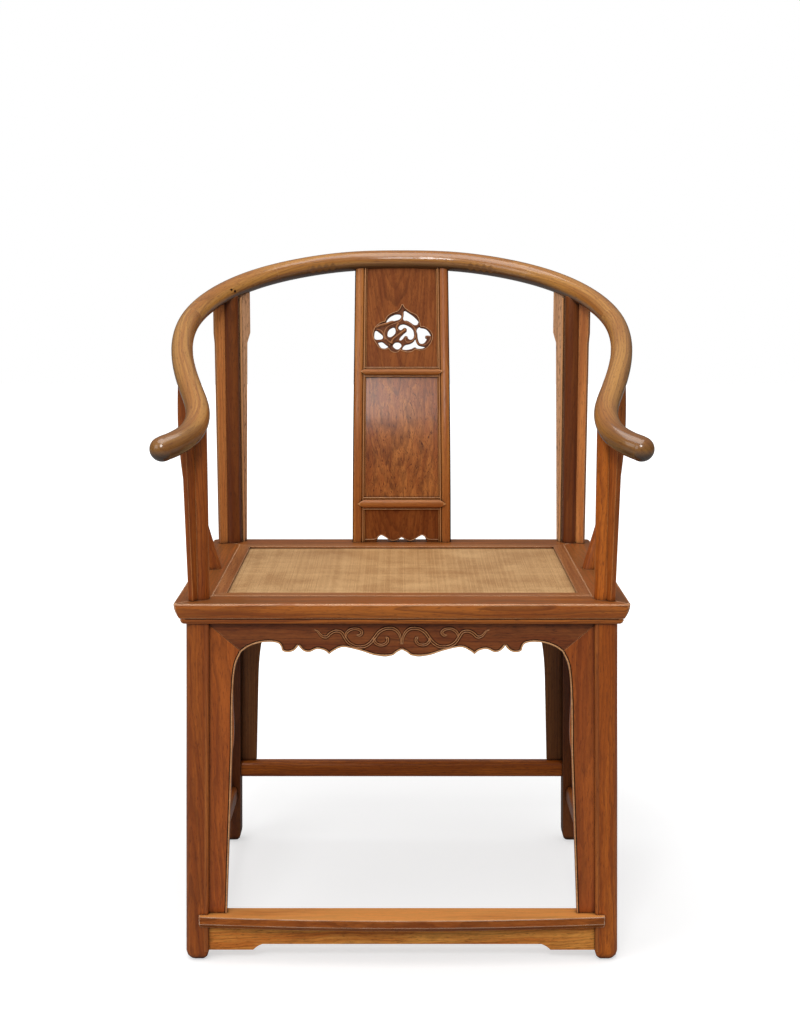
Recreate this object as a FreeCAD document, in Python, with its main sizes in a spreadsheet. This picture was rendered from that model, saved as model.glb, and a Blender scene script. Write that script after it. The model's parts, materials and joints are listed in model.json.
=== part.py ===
import FreeCAD, Part
import math
import os
from FreeCAD import Placement, Rotation, Vector

# Horseshoe back armchair of solid hardwood: round legs that run on as posts, a horseshoe crest
# rail in five scarfed sections, a curved panelled splat and a woven cane seat in a mitred frame.
# Millimetres. X is the sitter's left to right as seen from the front, the front faces -Y, Z is up.
# The origin is on the floor, under the middle of the whole chair.

SIZES = {
    # seat frame
    "seat_width": 612,
    "seat_depth": 470,
    "seat_height": 509,
    "frame_thick": 30,
    "side_rail_width": 65,
    "long_rail_width": 68,
    "corner_round": 8,
    "band_height": 20,
    "band_slope": 7,
    "band_step": 1.5,
    "bead_slope": 4,
    "arris_round": 1.5,
    "corner_tenon_length": 48,
    "corner_tenon_width": 14,
    "corner_tenon_thick": 9,
    # woven seat
    "strip_width": 18,
    "strip_thick": 3.5,
    "strip_proud": 0.6,
    "mat_thick": 2.5,
    "webbing_thick": 3,
    "mat_edge_gap": 1,
    "batten_width": 34,
    "batten_thick": 17,
    "batten_sag": 12,
    "batten_offset": 105,
    "batten_tenon": 14,
    "batten_clearance": 4,
    # legs
    "leg_size": 32,
    "leg_outer_round": 14,
    "leg_edge_round": 5,
    "leg_inner_round": 1.5,
    "leg_foot_round": 12,
    "leg_inset_side": 30,
    "leg_inset_front": 30.5,
    "leg_inset_back": 27,
    "leg_splay_side": 9,
    "leg_splay_ends": 13,
    # posts above the seat
    "post_diameter": 25,
    "front_post_inset_side": 33,
    "front_post_inset_front": 34.5,
    "rear_post_inset_side": 34.5,
    "rear_post_inset_back": 26.5,
    "rear_post_run": 309,
    "post_tenon_diameter": 13,
    "post_tenon_length": 9,
    # crest rail
    "crest_overhang_side": 16.5,
    "crest_front_height": 752.8,
    "crest_back_height": 958,
    "crest_inset_front": 39,
    "crest_overhang_back": 90,
    "crest_back_diameter": 32,
    "crest_arm_diameter": 31,
    "crest_hand_diameter": 33,
    "crest_arm_run": 560,
    "scarf_back_run": 193,
    "scarf_side_run": 404,
    "scarf_half_length": 26,
    "crest_section_step": 12,
    "crest_peg_size": 6.5,
    "hand_ahead": 93.6,
    # splat
    "splat_foot_width": 158,
    "splat_head_width": 151,
    "splat_stile_width": 18.5,
    "splat_thick": 15,
    "splat_panel_thick": 8,
    "splat_panel_tongue": 5,
    "splat_inset_back": 22.5,
    "splat_upper_rail_top": 785,
    "splat_upper_rail_bottom": 771.5,
    "splat_lower_rail_top": 581.5,
    "splat_lower_rail_bottom": 563,
    "splat_foot_height": 14,
    "splat_rail_proud": 2,
    "splat_rail_tenon": 8,
    "splat_groove_depth": 6,
    "medallion_width": 94,
    "medallion_height": 72,
    "medallion_middle": 848,
    # standing flanges beside the posts
    "flange_thick": 8,
    "flange_groove": 4,
    "front_flange_top": 29,
    "front_flange_foot": 20,
    "inner_flange_top": 36,
    "inner_flange_neck": 30,
    "inner_flange_foot": 24,
    "outer_flange_top": 27.5,
    "outer_flange_neck": 26,
    "outer_flange_foot": 24.5,
    "flange_step_height": 829,
    "flange_step_length": 16,
    # side braces
    "brace_foot_diameter": 23,
    "brace_top_diameter": 17,
    "brace_inset_side": 27,
    "brace_bulge": 39.5,
    "brace_foot_place": 2,
    "brace_top_run": 537,
    "brace_tenon_diameter": 10,
    "brace_tenon_length": 12,
    # aprons and their standing spandrels
    "apron_thick": 9,
    "apron_drop": 46,
    "apron_set": 6,
    "spandrel_foot_width": 25,
    "groove_depth": 4,
    "rear_apron_drop": 60,
    "side_apron_drop": 46,
    # footrail and stretchers
    "footrail_top": 68,
    "footrail_thick": 18,
    "footrail_back_ahead": 4.5,
    "footrail_end_ahead": 34.5,
    "footrail_bow": 13,
    "footrail_end_overhang": 4,
    "footrail_nose": 7,
    "footrail_apron_thick": 10,
    "footrail_apron_ahead": 17.5,
    "footrail_apron_floor": 14,
    "footrail_apron_lift": 8.5,
    "footrail_apron_step": 62,
    "footrail_apron_ogee": 13,
    "side_stretcher_top": 98,
    "rear_stretcher_top": 138.5,
    "stretcher_height": 27,
    "stretcher_width": 22,
    "stretcher_round": 8,
    "stretcher_tenon_width": 11,
    "stretcher_tenon_height": 18,
    "stretcher_tenon_reach": 8,
    "overrun": 60,
}

# Shapes that have no size of their own: shares of the sizes that they follow.
# The crest rail's line, half of it, from the back middle to the hand: share of the half width
# and share of the run along the slope, measured from the front posts.
CREST_SHARES = (
    (0.0, 1.0), (0.256, 0.990), (0.5055, 0.940), (0.746, 0.843), (0.902, 0.722),
    (0.9875, 0.576), (1.0, 0.482), (0.971, 0.318), (0.893, 0.137), (0.853, 0.046),
    (0.845, -0.005), (0.853, -0.055), (0.878, -0.095), (0.909, -0.121), (0.956, -0.148),
)
FRONT_POST_SHARES = (0.846, 0.0)
# The splat's line in side view: share of its lean and share of its height.
SPLAT_SHARES = ((0.0, 0.0), (0.018, 0.203), (0.173, 0.425), (0.475, 0.648), (0.742, 0.826), (1.0, 1.0))
# The side brace's line in front view: share of the bulge and share of the height.
BRACE_SHARES = ((0.0, 0.0), (0.39, 0.165), (0.74, 0.345), (0.93, 0.515), (1.0, 0.645),
                (0.995, 0.82), (0.98, 1.0))
# Lower edge of the front apron, one row for each smooth stretch between two cusps: share of the
# half opening at the seat and share of the apron's drop.
FRONT_APRON_SHARES = (
    ((0.836, 0.88), (0.795, 0.72), (0.738, 0.61), (0.682, 0.585), (0.642, 0.63), (0.627, 0.74)),
    ((0.627, 0.74), (0.621, 0.85), (0.595, 0.895), (0.562, 0.845), (0.538, 0.69)),
    ((0.538, 0.69), (0.514, 0.845), (0.482, 0.89), (0.442, 0.80), (0.402, 0.845), (0.378, 0.955)),
    ((0.378, 0.955), (0.353, 0.845), (0.305, 0.74), (0.217, 0.845), (0.137, 0.99), (0.057, 1.0),
     (0.025, 0.89), (0.0, 0.815)),
)
PLAIN_APRON_SHARES = (
    ((0.75, 1.0), (0.68, 0.76), (0.60, 0.66), (0.53, 0.655), (0.49, 0.74)),
    ((0.49, 0.74), (0.47, 0.83), (0.43, 0.86), (0.38, 0.80), (0.2, 0.72), (0.0, 0.7)),
)
# Inner edge of a standing spandrel from the mitre down, before it runs straight to its foot:
# share of the way from the foot edge to the mitre, and share of the height.
FRONT_SPANDREL_SHARES = ((0.66, 0.058), (0.50, 0.18), (0.43, 0.376))
PLAIN_SPANDREL_SHARES = ((0.583, 0.093), (0.298, 0.24), (0.177, 0.363), (0.104, 0.556))
# The seat frame's edge: share of the band's height and of its slope, then the same for the bead.
BAND_SHARES = ((0.0, 0.0), (0.28, 0.09), (0.55, 0.33), (0.8, 0.66), (1.0, 1.0))
BEAD_SHARES = ((0.0, 0.0), (0.35, -0.1), (0.7, 0.2), (0.9, 0.55), (1.0, 1.0))
# Where the footrail apron's ogee turns, as a share of its length.
OGEE_SHARE = 0.35
# The rounding under a foot: share of its height and share of how far it draws in.
FOOT_RING_SHARES = ((0.0, 0.85), (0.18, 0.45), (0.5, 0.15), (1.0, 0.0))
# Half of the shaped opening at the splat's foot: share of the half width between the stiles and
# share of the opening's height.
SPLAT_FOOT_SHARES = (
    (0.68, 0.0), (0.64, 0.46), (0.595, 0.86), (0.535, 0.97), (0.46, 0.79), (0.33, 0.29), (0.215, 0.09),
    (0.10, 0.33), (0.0, 0.64),
)
# Pierced leaves of the medallion: centre and half size, as shares of its half width and height.
MEDALLION_SHARES = (
    (-0.30, 0.41, 0.22, 0.19), (0.32, 0.41, 0.22, 0.26), (-0.80, -0.32, 0.13, 0.22),
    (-0.33, -0.16, 0.14, 0.19), (0.14, -0.18, 0.19, 0.24), (0.72, -0.28, 0.18, 0.30),
    (-0.62, -0.72, 0.15, 0.12), (-0.16, -0.73, 0.14, 0.12), (0.26, -0.73, 0.17, 0.14),
)
# Directions in which the standing flanges leave the posts, seen from above: outwards and back.
FRONT_FLANGE_SHARES = (0.55, -0.835)
INNER_FLANGE_SHARES = (-0.74, 0.673)
OUTER_FLANGE_SHARES = (0.89, -0.456)

os.makedirs("parts", exist_ok=True)
doc = FreeCAD.newDocument("horseshoe_armchair")
sheet = doc.addObject("Spreadsheet::Sheet", "Sizes")
for row, (name, value) in enumerate(SIZES.items(), start=1):
    sheet.set(f"A{row}", name)
    sheet.set(f"B{row}", str(value))
    sheet.setAlias(f"B{row}", name)
derived_row = len(SIZES) + 1
DERIVED = {
    "leg_place_side": "=seat_width / 2 - leg_inset_side",
    "leg_place_front": "=seat_depth / 2 - leg_inset_front",
    "leg_place_back": "=seat_depth / 2 - leg_inset_back",
    "front_post_side": "=seat_width / 2 - front_post_inset_side",
    "front_post_front": "=seat_depth / 2 - front_post_inset_front",
    "rear_post_side": "=seat_width / 2 - rear_post_inset_side",
    "rear_post_back": "=seat_depth / 2 - rear_post_inset_back",
    "brace_foot_side": "=seat_width / 2 - brace_inset_side",
    "splat_base_place": "=seat_depth / 2 - splat_inset_back",
    "crest_half_width": "=seat_width / 2 + crest_overhang_side",
    "crest_front_place": "=seat_depth / 2 - crest_inset_front",
    "crest_back_place": "=seat_depth / 2 + crest_overhang_back",
    "footrail_half_length": "=leg_place_side + footrail_end_overhang",
    "footrail_back_place": "=leg_place_front + footrail_back_ahead",
    "footrail_end_place": "=leg_place_front + footrail_end_ahead",
    "footrail_apron_place": "=leg_place_front + footrail_apron_ahead",
    "hand_reach": "=crest_front_place + hand_ahead",
    "back_reach": "=crest_back_place + crest_back_diameter / 2",
    "seat_place": "=(hand_reach - back_reach) / 2",
    "frame_under": "=seat_height - frame_thick",
}
for row, (name, formula) in enumerate(DERIVED.items(), start=derived_row):
    sheet.set(f"A{row}", name)
    sheet.set(f"B{row}", formula)
    sheet.setAlias(f"B{row}", name)
doc.recompute()


def mm(name):
    """A driving size, read from the sheet."""
    return float(sheet.get(name))


SIDES = {"left": -1, "right": 1}
ENDS = {"front": -1, "rear": 1}
SEAT_Y = mm("seat_place")
UNDER = mm("frame_under")
HALF_WIDTH = mm("seat_width") / 2
HALF_DEPTH = mm("seat_depth") / 2
SEAT_TOP = mm("seat_height")
FULL_TURN = 360
UPRIGHT = Rotation(Vector(1, 0, 0), Vector(0, 0, 1), Vector(0, -1, 0), "ZXY")
SIDEWAYS = Rotation(Vector(0, 1, 0), Vector(0, 0, 1), Vector(1, 0, 0), "ZXY")
LEVEL = Rotation()


# Small helpers: outlines, sketches, solids and booleans.

def chain(points):
    """Straight lines from point to point and back to the first."""
    corners = [Vector(*point, 0) for point in points]
    return [Part.LineSegment(a, b) for a, b in zip(corners, corners[1:] + corners[:1])]


def line(start, stop):
    return Part.LineSegment(Vector(*start, 0), Vector(*stop, 0))


def spline(points):
    """A smooth curve through the points."""
    curve = Part.BSplineCurve()
    curve.interpolate([Vector(*point, 0) for point in points])
    return curve


def mirrored(points):
    """The same points on the other side of the middle, in the opposite order."""
    return [(-x, y) for x, y in reversed(points)]


def corner_arc(before, corner, after, radius):
    """Arc that rounds a corner, with the two points where it meets the straight edges."""
    corner = Vector(*corner, 0)
    back = (Vector(*before, 0) - corner).normalize()
    ahead = (Vector(*after, 0) - corner).normalize()
    half_angle = back.getAngle(ahead) / 2
    reach = radius / math.tan(half_angle)
    start = corner + back * reach
    stop = corner + ahead * reach
    bisector = (back + ahead).normalize()
    middle = corner + bisector * (radius / math.sin(half_angle) - radius)
    return start, middle, stop


def rounded_chain(points, radii):
    """A closed outline whose corners are rounded."""
    count = len(points)
    arcs = [corner_arc(points[i - 1], points[i], points[(i + 1) % count], radii[i]) for i in range(count)]
    edges = []
    for i, (start, middle, stop) in enumerate(arcs):
        edges.append(Part.Arc(start, middle, stop))
        edges.append(Part.LineSegment(stop, arcs[(i + 1) % count][0]))
    return edges


def sketch(name, edges, placement):
    """A free sketch that an extrusion or a loft uses."""
    drawn = doc.addObject("Sketcher::SketchObject", name)
    drawn.addGeometry(edges, False)
    drawn.Placement = placement
    return drawn


def bind(item, **expressions):
    """Tie properties of a feature to the sheet."""
    for prop, expression in expressions.items():
        item.setExpression(prop, expression)
    return item


def extrusion(name, edges, placement, length, symmetric=True):
    """Solid made by drawing an outline along its normal; length is an expression."""
    solid = doc.addObject("Part::Extrusion", name)
    solid.Base = sketch(f"{name}_outline", edges, placement)
    solid.DirMode = "Normal"
    solid.Solid = True
    solid.Symmetric = symmetric
    return bind(solid, LengthFwd=length)


def box(name, low, length, width, height):
    """Box from its low corner; the sizes are expressions."""
    solid = doc.addObject("Part::Box", name)
    solid.Placement = Placement(Vector(*low), LEVEL)
    return bind(solid, Length=length, Width=width, Height=height)


def rod(name, start, stop, radius):
    """Cylinder from point to point; radius is an expression."""
    solid = doc.addObject("Part::Cylinder", name)
    solid.Height = (stop - start).Length
    solid.Placement = Placement(start, Rotation(Vector(0, 0, 1), stop - start))
    return bind(solid, Radius=radius)


def joined(name, *solids):
    union = doc.addObject("Part::MultiFuse", name)
    union.Shapes = list(solids)
    return union


def cut(name, base, *tools):
    """The base less the tools."""
    result = doc.addObject("Part::Cut", name)
    result.Base = base
    result.Tool = tools[0] if len(tools) == 1 else joined(f"{name}_tools", *tools)
    return result


def common(name, base, tool):
    result = doc.addObject("Part::Common", name)
    result.Base = base
    result.Tool = tool
    return result


def feature(name, shape):
    """A solid whose curved surface follows a line in space."""
    item = doc.addObject("Part::Feature", name)
    item.Shape = shape
    return item


def padded_body(name, role, edges, length, placement, offset=0.0, symmetric=True):
    """A board: an outline on one of the body's own planes, drawn out to its thickness."""
    body = doc.addObject("PartDesign::Body", name)
    drawn = body.newObject("Sketcher::SketchObject", f"{name}_outline")
    plane = [item for item in body.Origin.OriginFeatures if item.Role == role][0]
    drawn.AttachmentSupport = [(plane, "")]
    drawn.MapMode = "FlatFace"
    drawn.AttachmentOffset = Placement(Vector(0, 0, offset), LEVEL)
    drawn.addGeometry(edges, False)
    pad = body.newObject("PartDesign::Pad", f"{name}_pad")
    pad.Profile = drawn
    pad.SideType = "Symmetric" if symmetric else "One side"
    bind(pad, Length=length)
    body.Placement = placement
    return body


# Crest rail: a round rail whose middle line lies in one sloping plane.

CREST_RUN = math.hypot(mm("crest_back_place") + mm("crest_front_place"),
                       mm("crest_back_height") - mm("crest_front_height"))
CREST_SLOPE = math.atan2(mm("crest_back_height") - mm("crest_front_height"),
                         mm("crest_back_place") + mm("crest_front_place"))
CREST_START = Vector(0, SEAT_Y - mm("crest_front_place"), mm("crest_front_height"))
CREST_ALONG = Vector(0, math.cos(CREST_SLOPE), math.sin(CREST_SLOPE))
CREST_UP = Vector(0, -math.sin(CREST_SLOPE), math.cos(CREST_SLOPE))


def crest_plan(shares):
    return Vector(shares[0] * mm("crest_half_width"), shares[1] * CREST_RUN, 0)


CREST_CURVE = Part.BSplineCurve()
CREST_CURVE.interpolate(Points=[crest_plan(shares) for shares in CREST_SHARES],
                        InitialTangent=Vector(1, 0, 0),
                        FinalTangent=crest_plan(CREST_SHARES[-1]) - crest_plan(CREST_SHARES[-2]))
CREST_LENGTH = CREST_CURVE.length()
FRONT_POST_RUN = CREST_CURVE.length(CREST_CURVE.FirstParameter,
                                    CREST_CURVE.parameter(crest_plan(FRONT_POST_SHARES)))


def crest_frame(run):
    """Point on the crest rail's middle line and its direction; a run below zero is on the left."""
    side = -1 if run < 0 else 1
    where = CREST_CURVE.parameterAtDistance(abs(run))
    flat = CREST_CURVE.value(where)
    heading = CREST_CURVE.tangent(where)[0]
    point = CREST_START + Vector(side * flat.x, 0, 0) + CREST_ALONG * flat.y
    direction = Vector(heading.x, 0, 0) + CREST_ALONG * (side * heading.y)
    return point, direction


def crest_radius(run):
    """Half the rail's thickness, which changes slowly from the back to the hand."""
    run = abs(run)
    back, arm, hand = mm("crest_back_diameter"), mm("crest_arm_diameter"), mm("crest_hand_diameter")
    arm_run = mm("crest_arm_run")
    if run < arm_run:
        return (back + (arm - back) * run / arm_run) / 2
    return (arm + (hand - arm) * (run - arm_run) / (CREST_LENGTH - arm_run)) / 2


def crest_stations(start, stop):
    count = max(2, math.ceil((stop - start) / mm("crest_section_step")))
    return [start + (stop - start) * i / count for i in range(count + 1)]


def crest_wire(run, outline):
    """An outline set square to the rail at a run along it."""
    point, direction = crest_frame(run)
    wire = outline.copy()
    wire.Placement = Placement(point, Rotation(CREST_UP.cross(direction), CREST_UP, direction, "ZYX"))
    return wire


def crest_tube(start, stop, inset=0.0):
    """Round length of rail between two runs."""
    wires = [crest_wire(run, Part.Wire(Part.makeCircle(crest_radius(run) - inset)))
             for run in crest_stations(start, stop)]
    return Part.makeLoft(wires, True, False)


def scarf_half(start, stop, upper):
    """All that lies above, or below, the rail's middle plane between two runs."""
    reach = mm("crest_hand_diameter")
    edge = reach if upper else -reach
    corners = [Vector(-reach, 0, 0), Vector(reach, 0, 0), Vector(reach, edge, 0), Vector(-reach, edge, 0)]
    outline = Part.makePolygon(corners + corners[:1])
    return Part.makeLoft([crest_wire(run, outline) for run in crest_stations(start, stop)], True, False)


def post_line(side, end):
    """Foot and head of a post: where it leaves the leg, and the crest rail's middle line."""
    if end < 0:
        foot = Vector(side * mm("front_post_side"), SEAT_Y - mm("front_post_front"), UNDER)
        head = crest_frame(side * FRONT_POST_RUN)[0]
    else:
        foot = Vector(side * mm("rear_post_side"), SEAT_Y + mm("rear_post_back"), UNDER)
        head = crest_frame(side * mm("rear_post_run"))[0]
    return foot, head


def scarf_pegs():
    """One square peg through the middle of each scarf, square to the slope."""
    pegs = []
    size = mm("crest_peg_size")
    half = mm("scarf_half_length")
    for scarf in (mm("scarf_back_run"), mm("scarf_side_run")):
        for side in SIDES.values():
            point, direction = crest_frame(side * scarf)
            reach = mm("crest_back_diameter")
            peg = Part.makeBox(size, 2 * reach, size, Vector(-size / 2, -reach, -size / 2))
            peg.Placement = Placement(point, Rotation(CREST_UP.cross(direction), CREST_UP, direction, "ZYX"))
            start, stop = sorted((side * (scarf - half), side * (scarf + half)))
            pegs.append(peg.common(crest_tube(start, stop)))
    return pegs


def crest_sections():
    """Five lengths of rail, half lapped into each other, with round sockets for the posts."""
    half = mm("scarf_half_length")
    back, side_run = mm("scarf_back_run"), mm("scarf_side_run")
    over = mm("crest_section_step")
    pegs = scarf_pegs()
    shapes = {}
    middle = crest_tube(-back - half, back + half)
    for side in SIDES.values():
        start, stop = sorted((side * (back - half), side * (back + half + over)))
        middle = middle.cut(scarf_half(start, stop, False))
    shapes["crest_centre"] = middle
    for label, side in SIDES.items():
        start, stop = sorted((side * (back - half), side * (side_run + half)))
        shoulder = crest_tube(start, stop)
        start, stop = sorted((side * (back - half - over), side * (back + half)))
        shoulder = shoulder.cut(scarf_half(start, stop, True))
        start, stop = sorted((side * (side_run - half), side * (side_run + half + over)))
        shapes[f"crest_shoulder_{label}"] = shoulder.cut(scarf_half(start, stop, False))
        start, stop = sorted((side * (side_run - half), side * CREST_LENGTH))
        arm = crest_tube(start, stop)
        point, direction = crest_frame(side * CREST_LENGTH)
        hand = mm("crest_hand_diameter") / 2
        dome = Part.makeSphere(hand, Vector(), Vector(0, 0, 1), 0, math.degrees(math.pi / 2), FULL_TURN)
        dome.Placement = Placement(point, Rotation(Vector(0, 0, 1), direction * side))
        arm = arm.fuse(dome)
        start, stop = sorted((side * (side_run - half - over), side * (side_run + half)))
        shapes[f"crest_arm_{label}"] = arm.cut(scarf_half(start, stop, True))
    return shapes, pegs


def post_tenon(name, side, end):
    """Round tenon on a post's head, and the socket that takes it."""
    foot, head = post_line(side, end)
    upward = (head - foot).normalize()
    return rod(name, head - upward * mm("crest_arm_diameter"),
               head + upward * mm("post_tenon_length"), "Sizes.post_tenon_diameter / 2")


def socket_tools(name):
    """What enters a length of rail from below: posts, braces or the splat."""
    tools = []
    for label, side in SIDES.items():
        if name == f"crest_arm_{label}":
            tools.append(post_tenon(f"{name}_socket", side, -1))
            tools.append(feature(f"{name}_brace_socket", brace_tenon(side)))
        if name == f"crest_shoulder_{label}":
            tools.append(post_tenon(f"{name}_socket", side, 1))
    if name == "crest_centre":
        tools.append(doc.getObject("splat_tongued"))
    return tools


# Legs: round outside and square inside below the seat, round posts above it, in one piece.

def leg_axis(side, end, height):
    """Middle of a leg at a height; the legs spread towards the floor."""
    spread = 1 - height / UNDER
    place = mm("leg_place_front") if end < 0 else mm("leg_place_back")
    return Vector(side * (mm("leg_place_side") + mm("leg_splay_side") * spread),
                  SEAT_Y + end * (place + mm("leg_splay_ends") * spread), height)


def leg_section(name, side, end, height, inset):
    """Section of a leg: the corner that faces outwards has the large radius."""
    half = mm("leg_size") / 2
    scale = (half - inset) / half
    corners = [(1, 1), (-1, 1), (-1, -1), (1, -1)]
    radii = [mm("leg_outer_round"), mm("leg_edge_round"), mm("leg_inner_round"), mm("leg_edge_round")]
    points = [(side * x * half * scale, end * y * half * scale) for x, y in corners]
    edges = rounded_chain(points, [radius * scale for radius in radii])
    return sketch(name, edges, Placement(leg_axis(side, end, height), LEVEL))


def leg_blank(name, side, end):
    """The leg below the seat, with its rounded foot."""
    foot = mm("leg_foot_round")
    rings = [(rise * foot, inset * foot) for rise, inset in FOOT_RING_SHARES] + [(UNDER, 0.0)]
    blank = doc.addObject("Part::Loft", name)
    blank.Sections = [leg_section(f"{name}_ring_{i}", side, end, height, inset)
                      for i, (height, inset) in enumerate(rings)]
    blank.Solid = True
    blank.Ruled = True
    return blank


def legs_and_posts(tubes, grooves):
    """Four uprights, each from the floor to the crest rail."""
    for end_label, end in ENDS.items():
        for label, side in SIDES.items():
            name = f"{end_label}_leg_{label}"
            foot, head = post_line(side, end)
            sink = Vector(0, 0, mm("post_tenon_length"))
            post = rod(f"{name}_post", foot - sink, head, "Sizes.post_diameter / 2")
            coped = cut(f"{name}_coped", post, tubes[(end, side)])
            stick = joined(f"{name}_stick", LEG_BLANKS[(end, side)], coped,
                           post_tenon(f"{name}_tenon", side, end))
            cut(name, stick, *grooves[(end, side)])


# Seat frame: two long rails and two side rails, mitred at the corners.

def frame_ring(name, height, inset):
    """Outline of the seat frame at a height, drawn in from the largest outline."""
    x = HALF_WIDTH - inset
    y = HALF_DEPTH - inset
    radius = max(mm("corner_round") - inset, mm("arris_round"))
    edges = rounded_chain([(-x, -y), (x, -y), (x, y), (-x, y)], [radius] * 4)
    return sketch(name, edges, Placement(Vector(0, SEAT_Y, height), LEVEL))


def frame_block():
    """The moulded edge: small arris, band that curves in, step and bead."""
    arris = mm("arris_round")
    band_foot = SEAT_TOP - arris - mm("band_height")
    step = mm("band_slope") + mm("band_step")
    bead_height = band_foot - UNDER
    band = [(SEAT_TOP, arris)]
    band += [(SEAT_TOP - arris - mm("band_height") * fall, mm("band_slope") * slope)
             for fall, slope in BAND_SHARES]
    beads = [(band_foot - bead_height * fall, step + mm("bead_slope") * slope) for fall, slope in BEAD_SHARES]
    upper = doc.addObject("Part::Loft", "frame_upper")
    upper.Sections = [frame_ring(f"frame_ring_{i}", *ring) for i, ring in enumerate(band)]
    lower = doc.addObject("Part::Loft", "frame_lower")
    lower.Sections = [frame_ring(f"frame_bead_{i}", *ring) for i, ring in enumerate(beads)]
    for part in (upper, lower):
        part.Solid = True
        part.Ruled = True
    return joined("frame_block", upper, lower)


def inner_half():
    """Half width and half depth of the seat opening."""
    return HALF_WIDTH - mm("side_rail_width"), HALF_DEPTH - mm("long_rail_width")


def rabbet_half():
    """Half width and half depth of the recess that takes the mat's edge and its strips."""
    x, y = inner_half()
    return x + mm("strip_width"), y + mm("strip_width")


def rabbet_floor():
    return SEAT_TOP + mm("strip_proud") - mm("strip_thick") - mm("mat_thick") - mm("webbing_thick")


def seat_frame(post_holes):
    """Four mitred rails cut from one moulded ring."""
    over = mm("overrun")
    inner_x, inner_y = inner_half()
    rabbet_x, rabbet_y = rabbet_half()
    block = frame_block()
    opening = box("frame_opening", (-inner_x, SEAT_Y - inner_y, UNDER - over),
                  "Sizes.seat_width - 2 * Sizes.side_rail_width",
                  "Sizes.seat_depth - 2 * Sizes.long_rail_width", "Sizes.frame_thick + 2 * Sizes.overrun")
    rabbet = box("frame_rabbet", (-rabbet_x, SEAT_Y - rabbet_y, rabbet_floor()),
                 "Sizes.seat_width - 2 * Sizes.side_rail_width + 2 * Sizes.strip_width",
                 "Sizes.seat_depth - 2 * Sizes.long_rail_width + 2 * Sizes.strip_width",
                 "Sizes.frame_thick + Sizes.overrun")
    ring = cut("frame_ring_solid", block, opening, rabbet, *post_holes)
    tenons = []
    for end_label, end in ENDS.items():
        for label, side in SIDES.items():
            far = HALF_WIDTH - mm("side_rail_width") + mm("corner_tenon_length")
            near = inner_x - mm("corner_tenon_width")
            low_x = min(side * near, side * far)
            low_y = SEAT_Y + end * inner_y + (0 if end > 0 else -mm("corner_tenon_width"))
            low = (low_x, low_y, UNDER + mm("corner_tenon_thick") / 2)
            tenons.append((end, box(f"corner_tenon_{end_label}_{label}", low,
                                    "Sizes.corner_tenon_length + Sizes.corner_tenon_width",
                                    "Sizes.corner_tenon_width", "Sizes.corner_tenon_thick")))
    for end_label, end in ENDS.items():
        outer = [(-HALF_WIDTH, end * HALF_DEPTH), (HALF_WIDTH, end * HALF_DEPTH)]
        inner = [(inner_x, end * inner_y), (-inner_x, end * inner_y)]
        mitre = extrusion(f"{end_label}_mitre", chain(outer + inner),
                          Placement(Vector(0, SEAT_Y, UNDER), LEVEL), "Sizes.frame_thick + Sizes.overrun")
        plain = common(f"{end_label}_rail_plain", ring, mitre)
        own = [tenon for place, tenon in tenons if place == end]
        sockets = [batten_box(f"{end_label}_socket_{label}", side) for label, side in SIDES.items()]
        cut(f"seat_{end_label}_rail", joined(f"{end_label}_rail_tenoned", plain, *own), *sockets)
    for label, side in SIDES.items():
        outer = [(side * HALF_WIDTH, -HALF_DEPTH), (side * HALF_WIDTH, HALF_DEPTH)]
        inner = [(side * inner_x, inner_y), (side * inner_x, -inner_y)]
        mitre = extrusion(f"{label}_mitre", chain(outer + inner),
                          Placement(Vector(0, SEAT_Y, UNDER), LEVEL), "Sizes.frame_thick + Sizes.overrun")
        plain = common(f"{label}_rail_plain", ring, mitre)
        brace_foot = brace_socket(f"{label}_brace_socket", side)
        cut(f"seat_side_rail_{label}", plain, *[tenon for _, tenon in tenons], brace_foot)


def batten_box(name, side):
    """Straight tenons of a batten, right through both long rails' inner edges."""
    inner_y = inner_half()[1]
    low = (side * mm("batten_offset") - mm("batten_width") / 2, SEAT_Y - inner_y - mm("batten_tenon"),
           UNDER + mm("arris_round"))
    return box(name, low, "Sizes.batten_width",
               "Sizes.seat_depth - 2 * Sizes.long_rail_width + 2 * Sizes.batten_tenon",
               "Sizes.batten_thick / 2")


def battens():
    """Two bearers under the seat, bowed down so that the mat can give."""
    inner_y = inner_half()[1]
    low = UNDER + mm("arris_round")
    high = low + mm("batten_thick") / 2
    sag = mm("batten_sag")
    end_y = inner_y + mm("batten_tenon")
    bow = [(-inner_y, low), (0, low - sag), (inner_y, low)]
    crown = [(inner_y, high), (0, high - sag), (-inner_y, high)]
    edges = [line((-end_y, low), bow[0]), spline(bow), line(bow[-1], (end_y, low)),
             line((end_y, low), (end_y, high)), line((end_y, high), crown[0]), spline(crown),
             line(crown[-1], (-end_y, high)), line((-end_y, high), (-end_y, low))]
    for label, side in SIDES.items():
        padded_body(f"seat_batten_{label}", "YZ_Plane", edges, "Sizes.batten_width",
                    Placement(Vector(side * mm("batten_offset"), SEAT_Y, 0), LEVEL))


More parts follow.
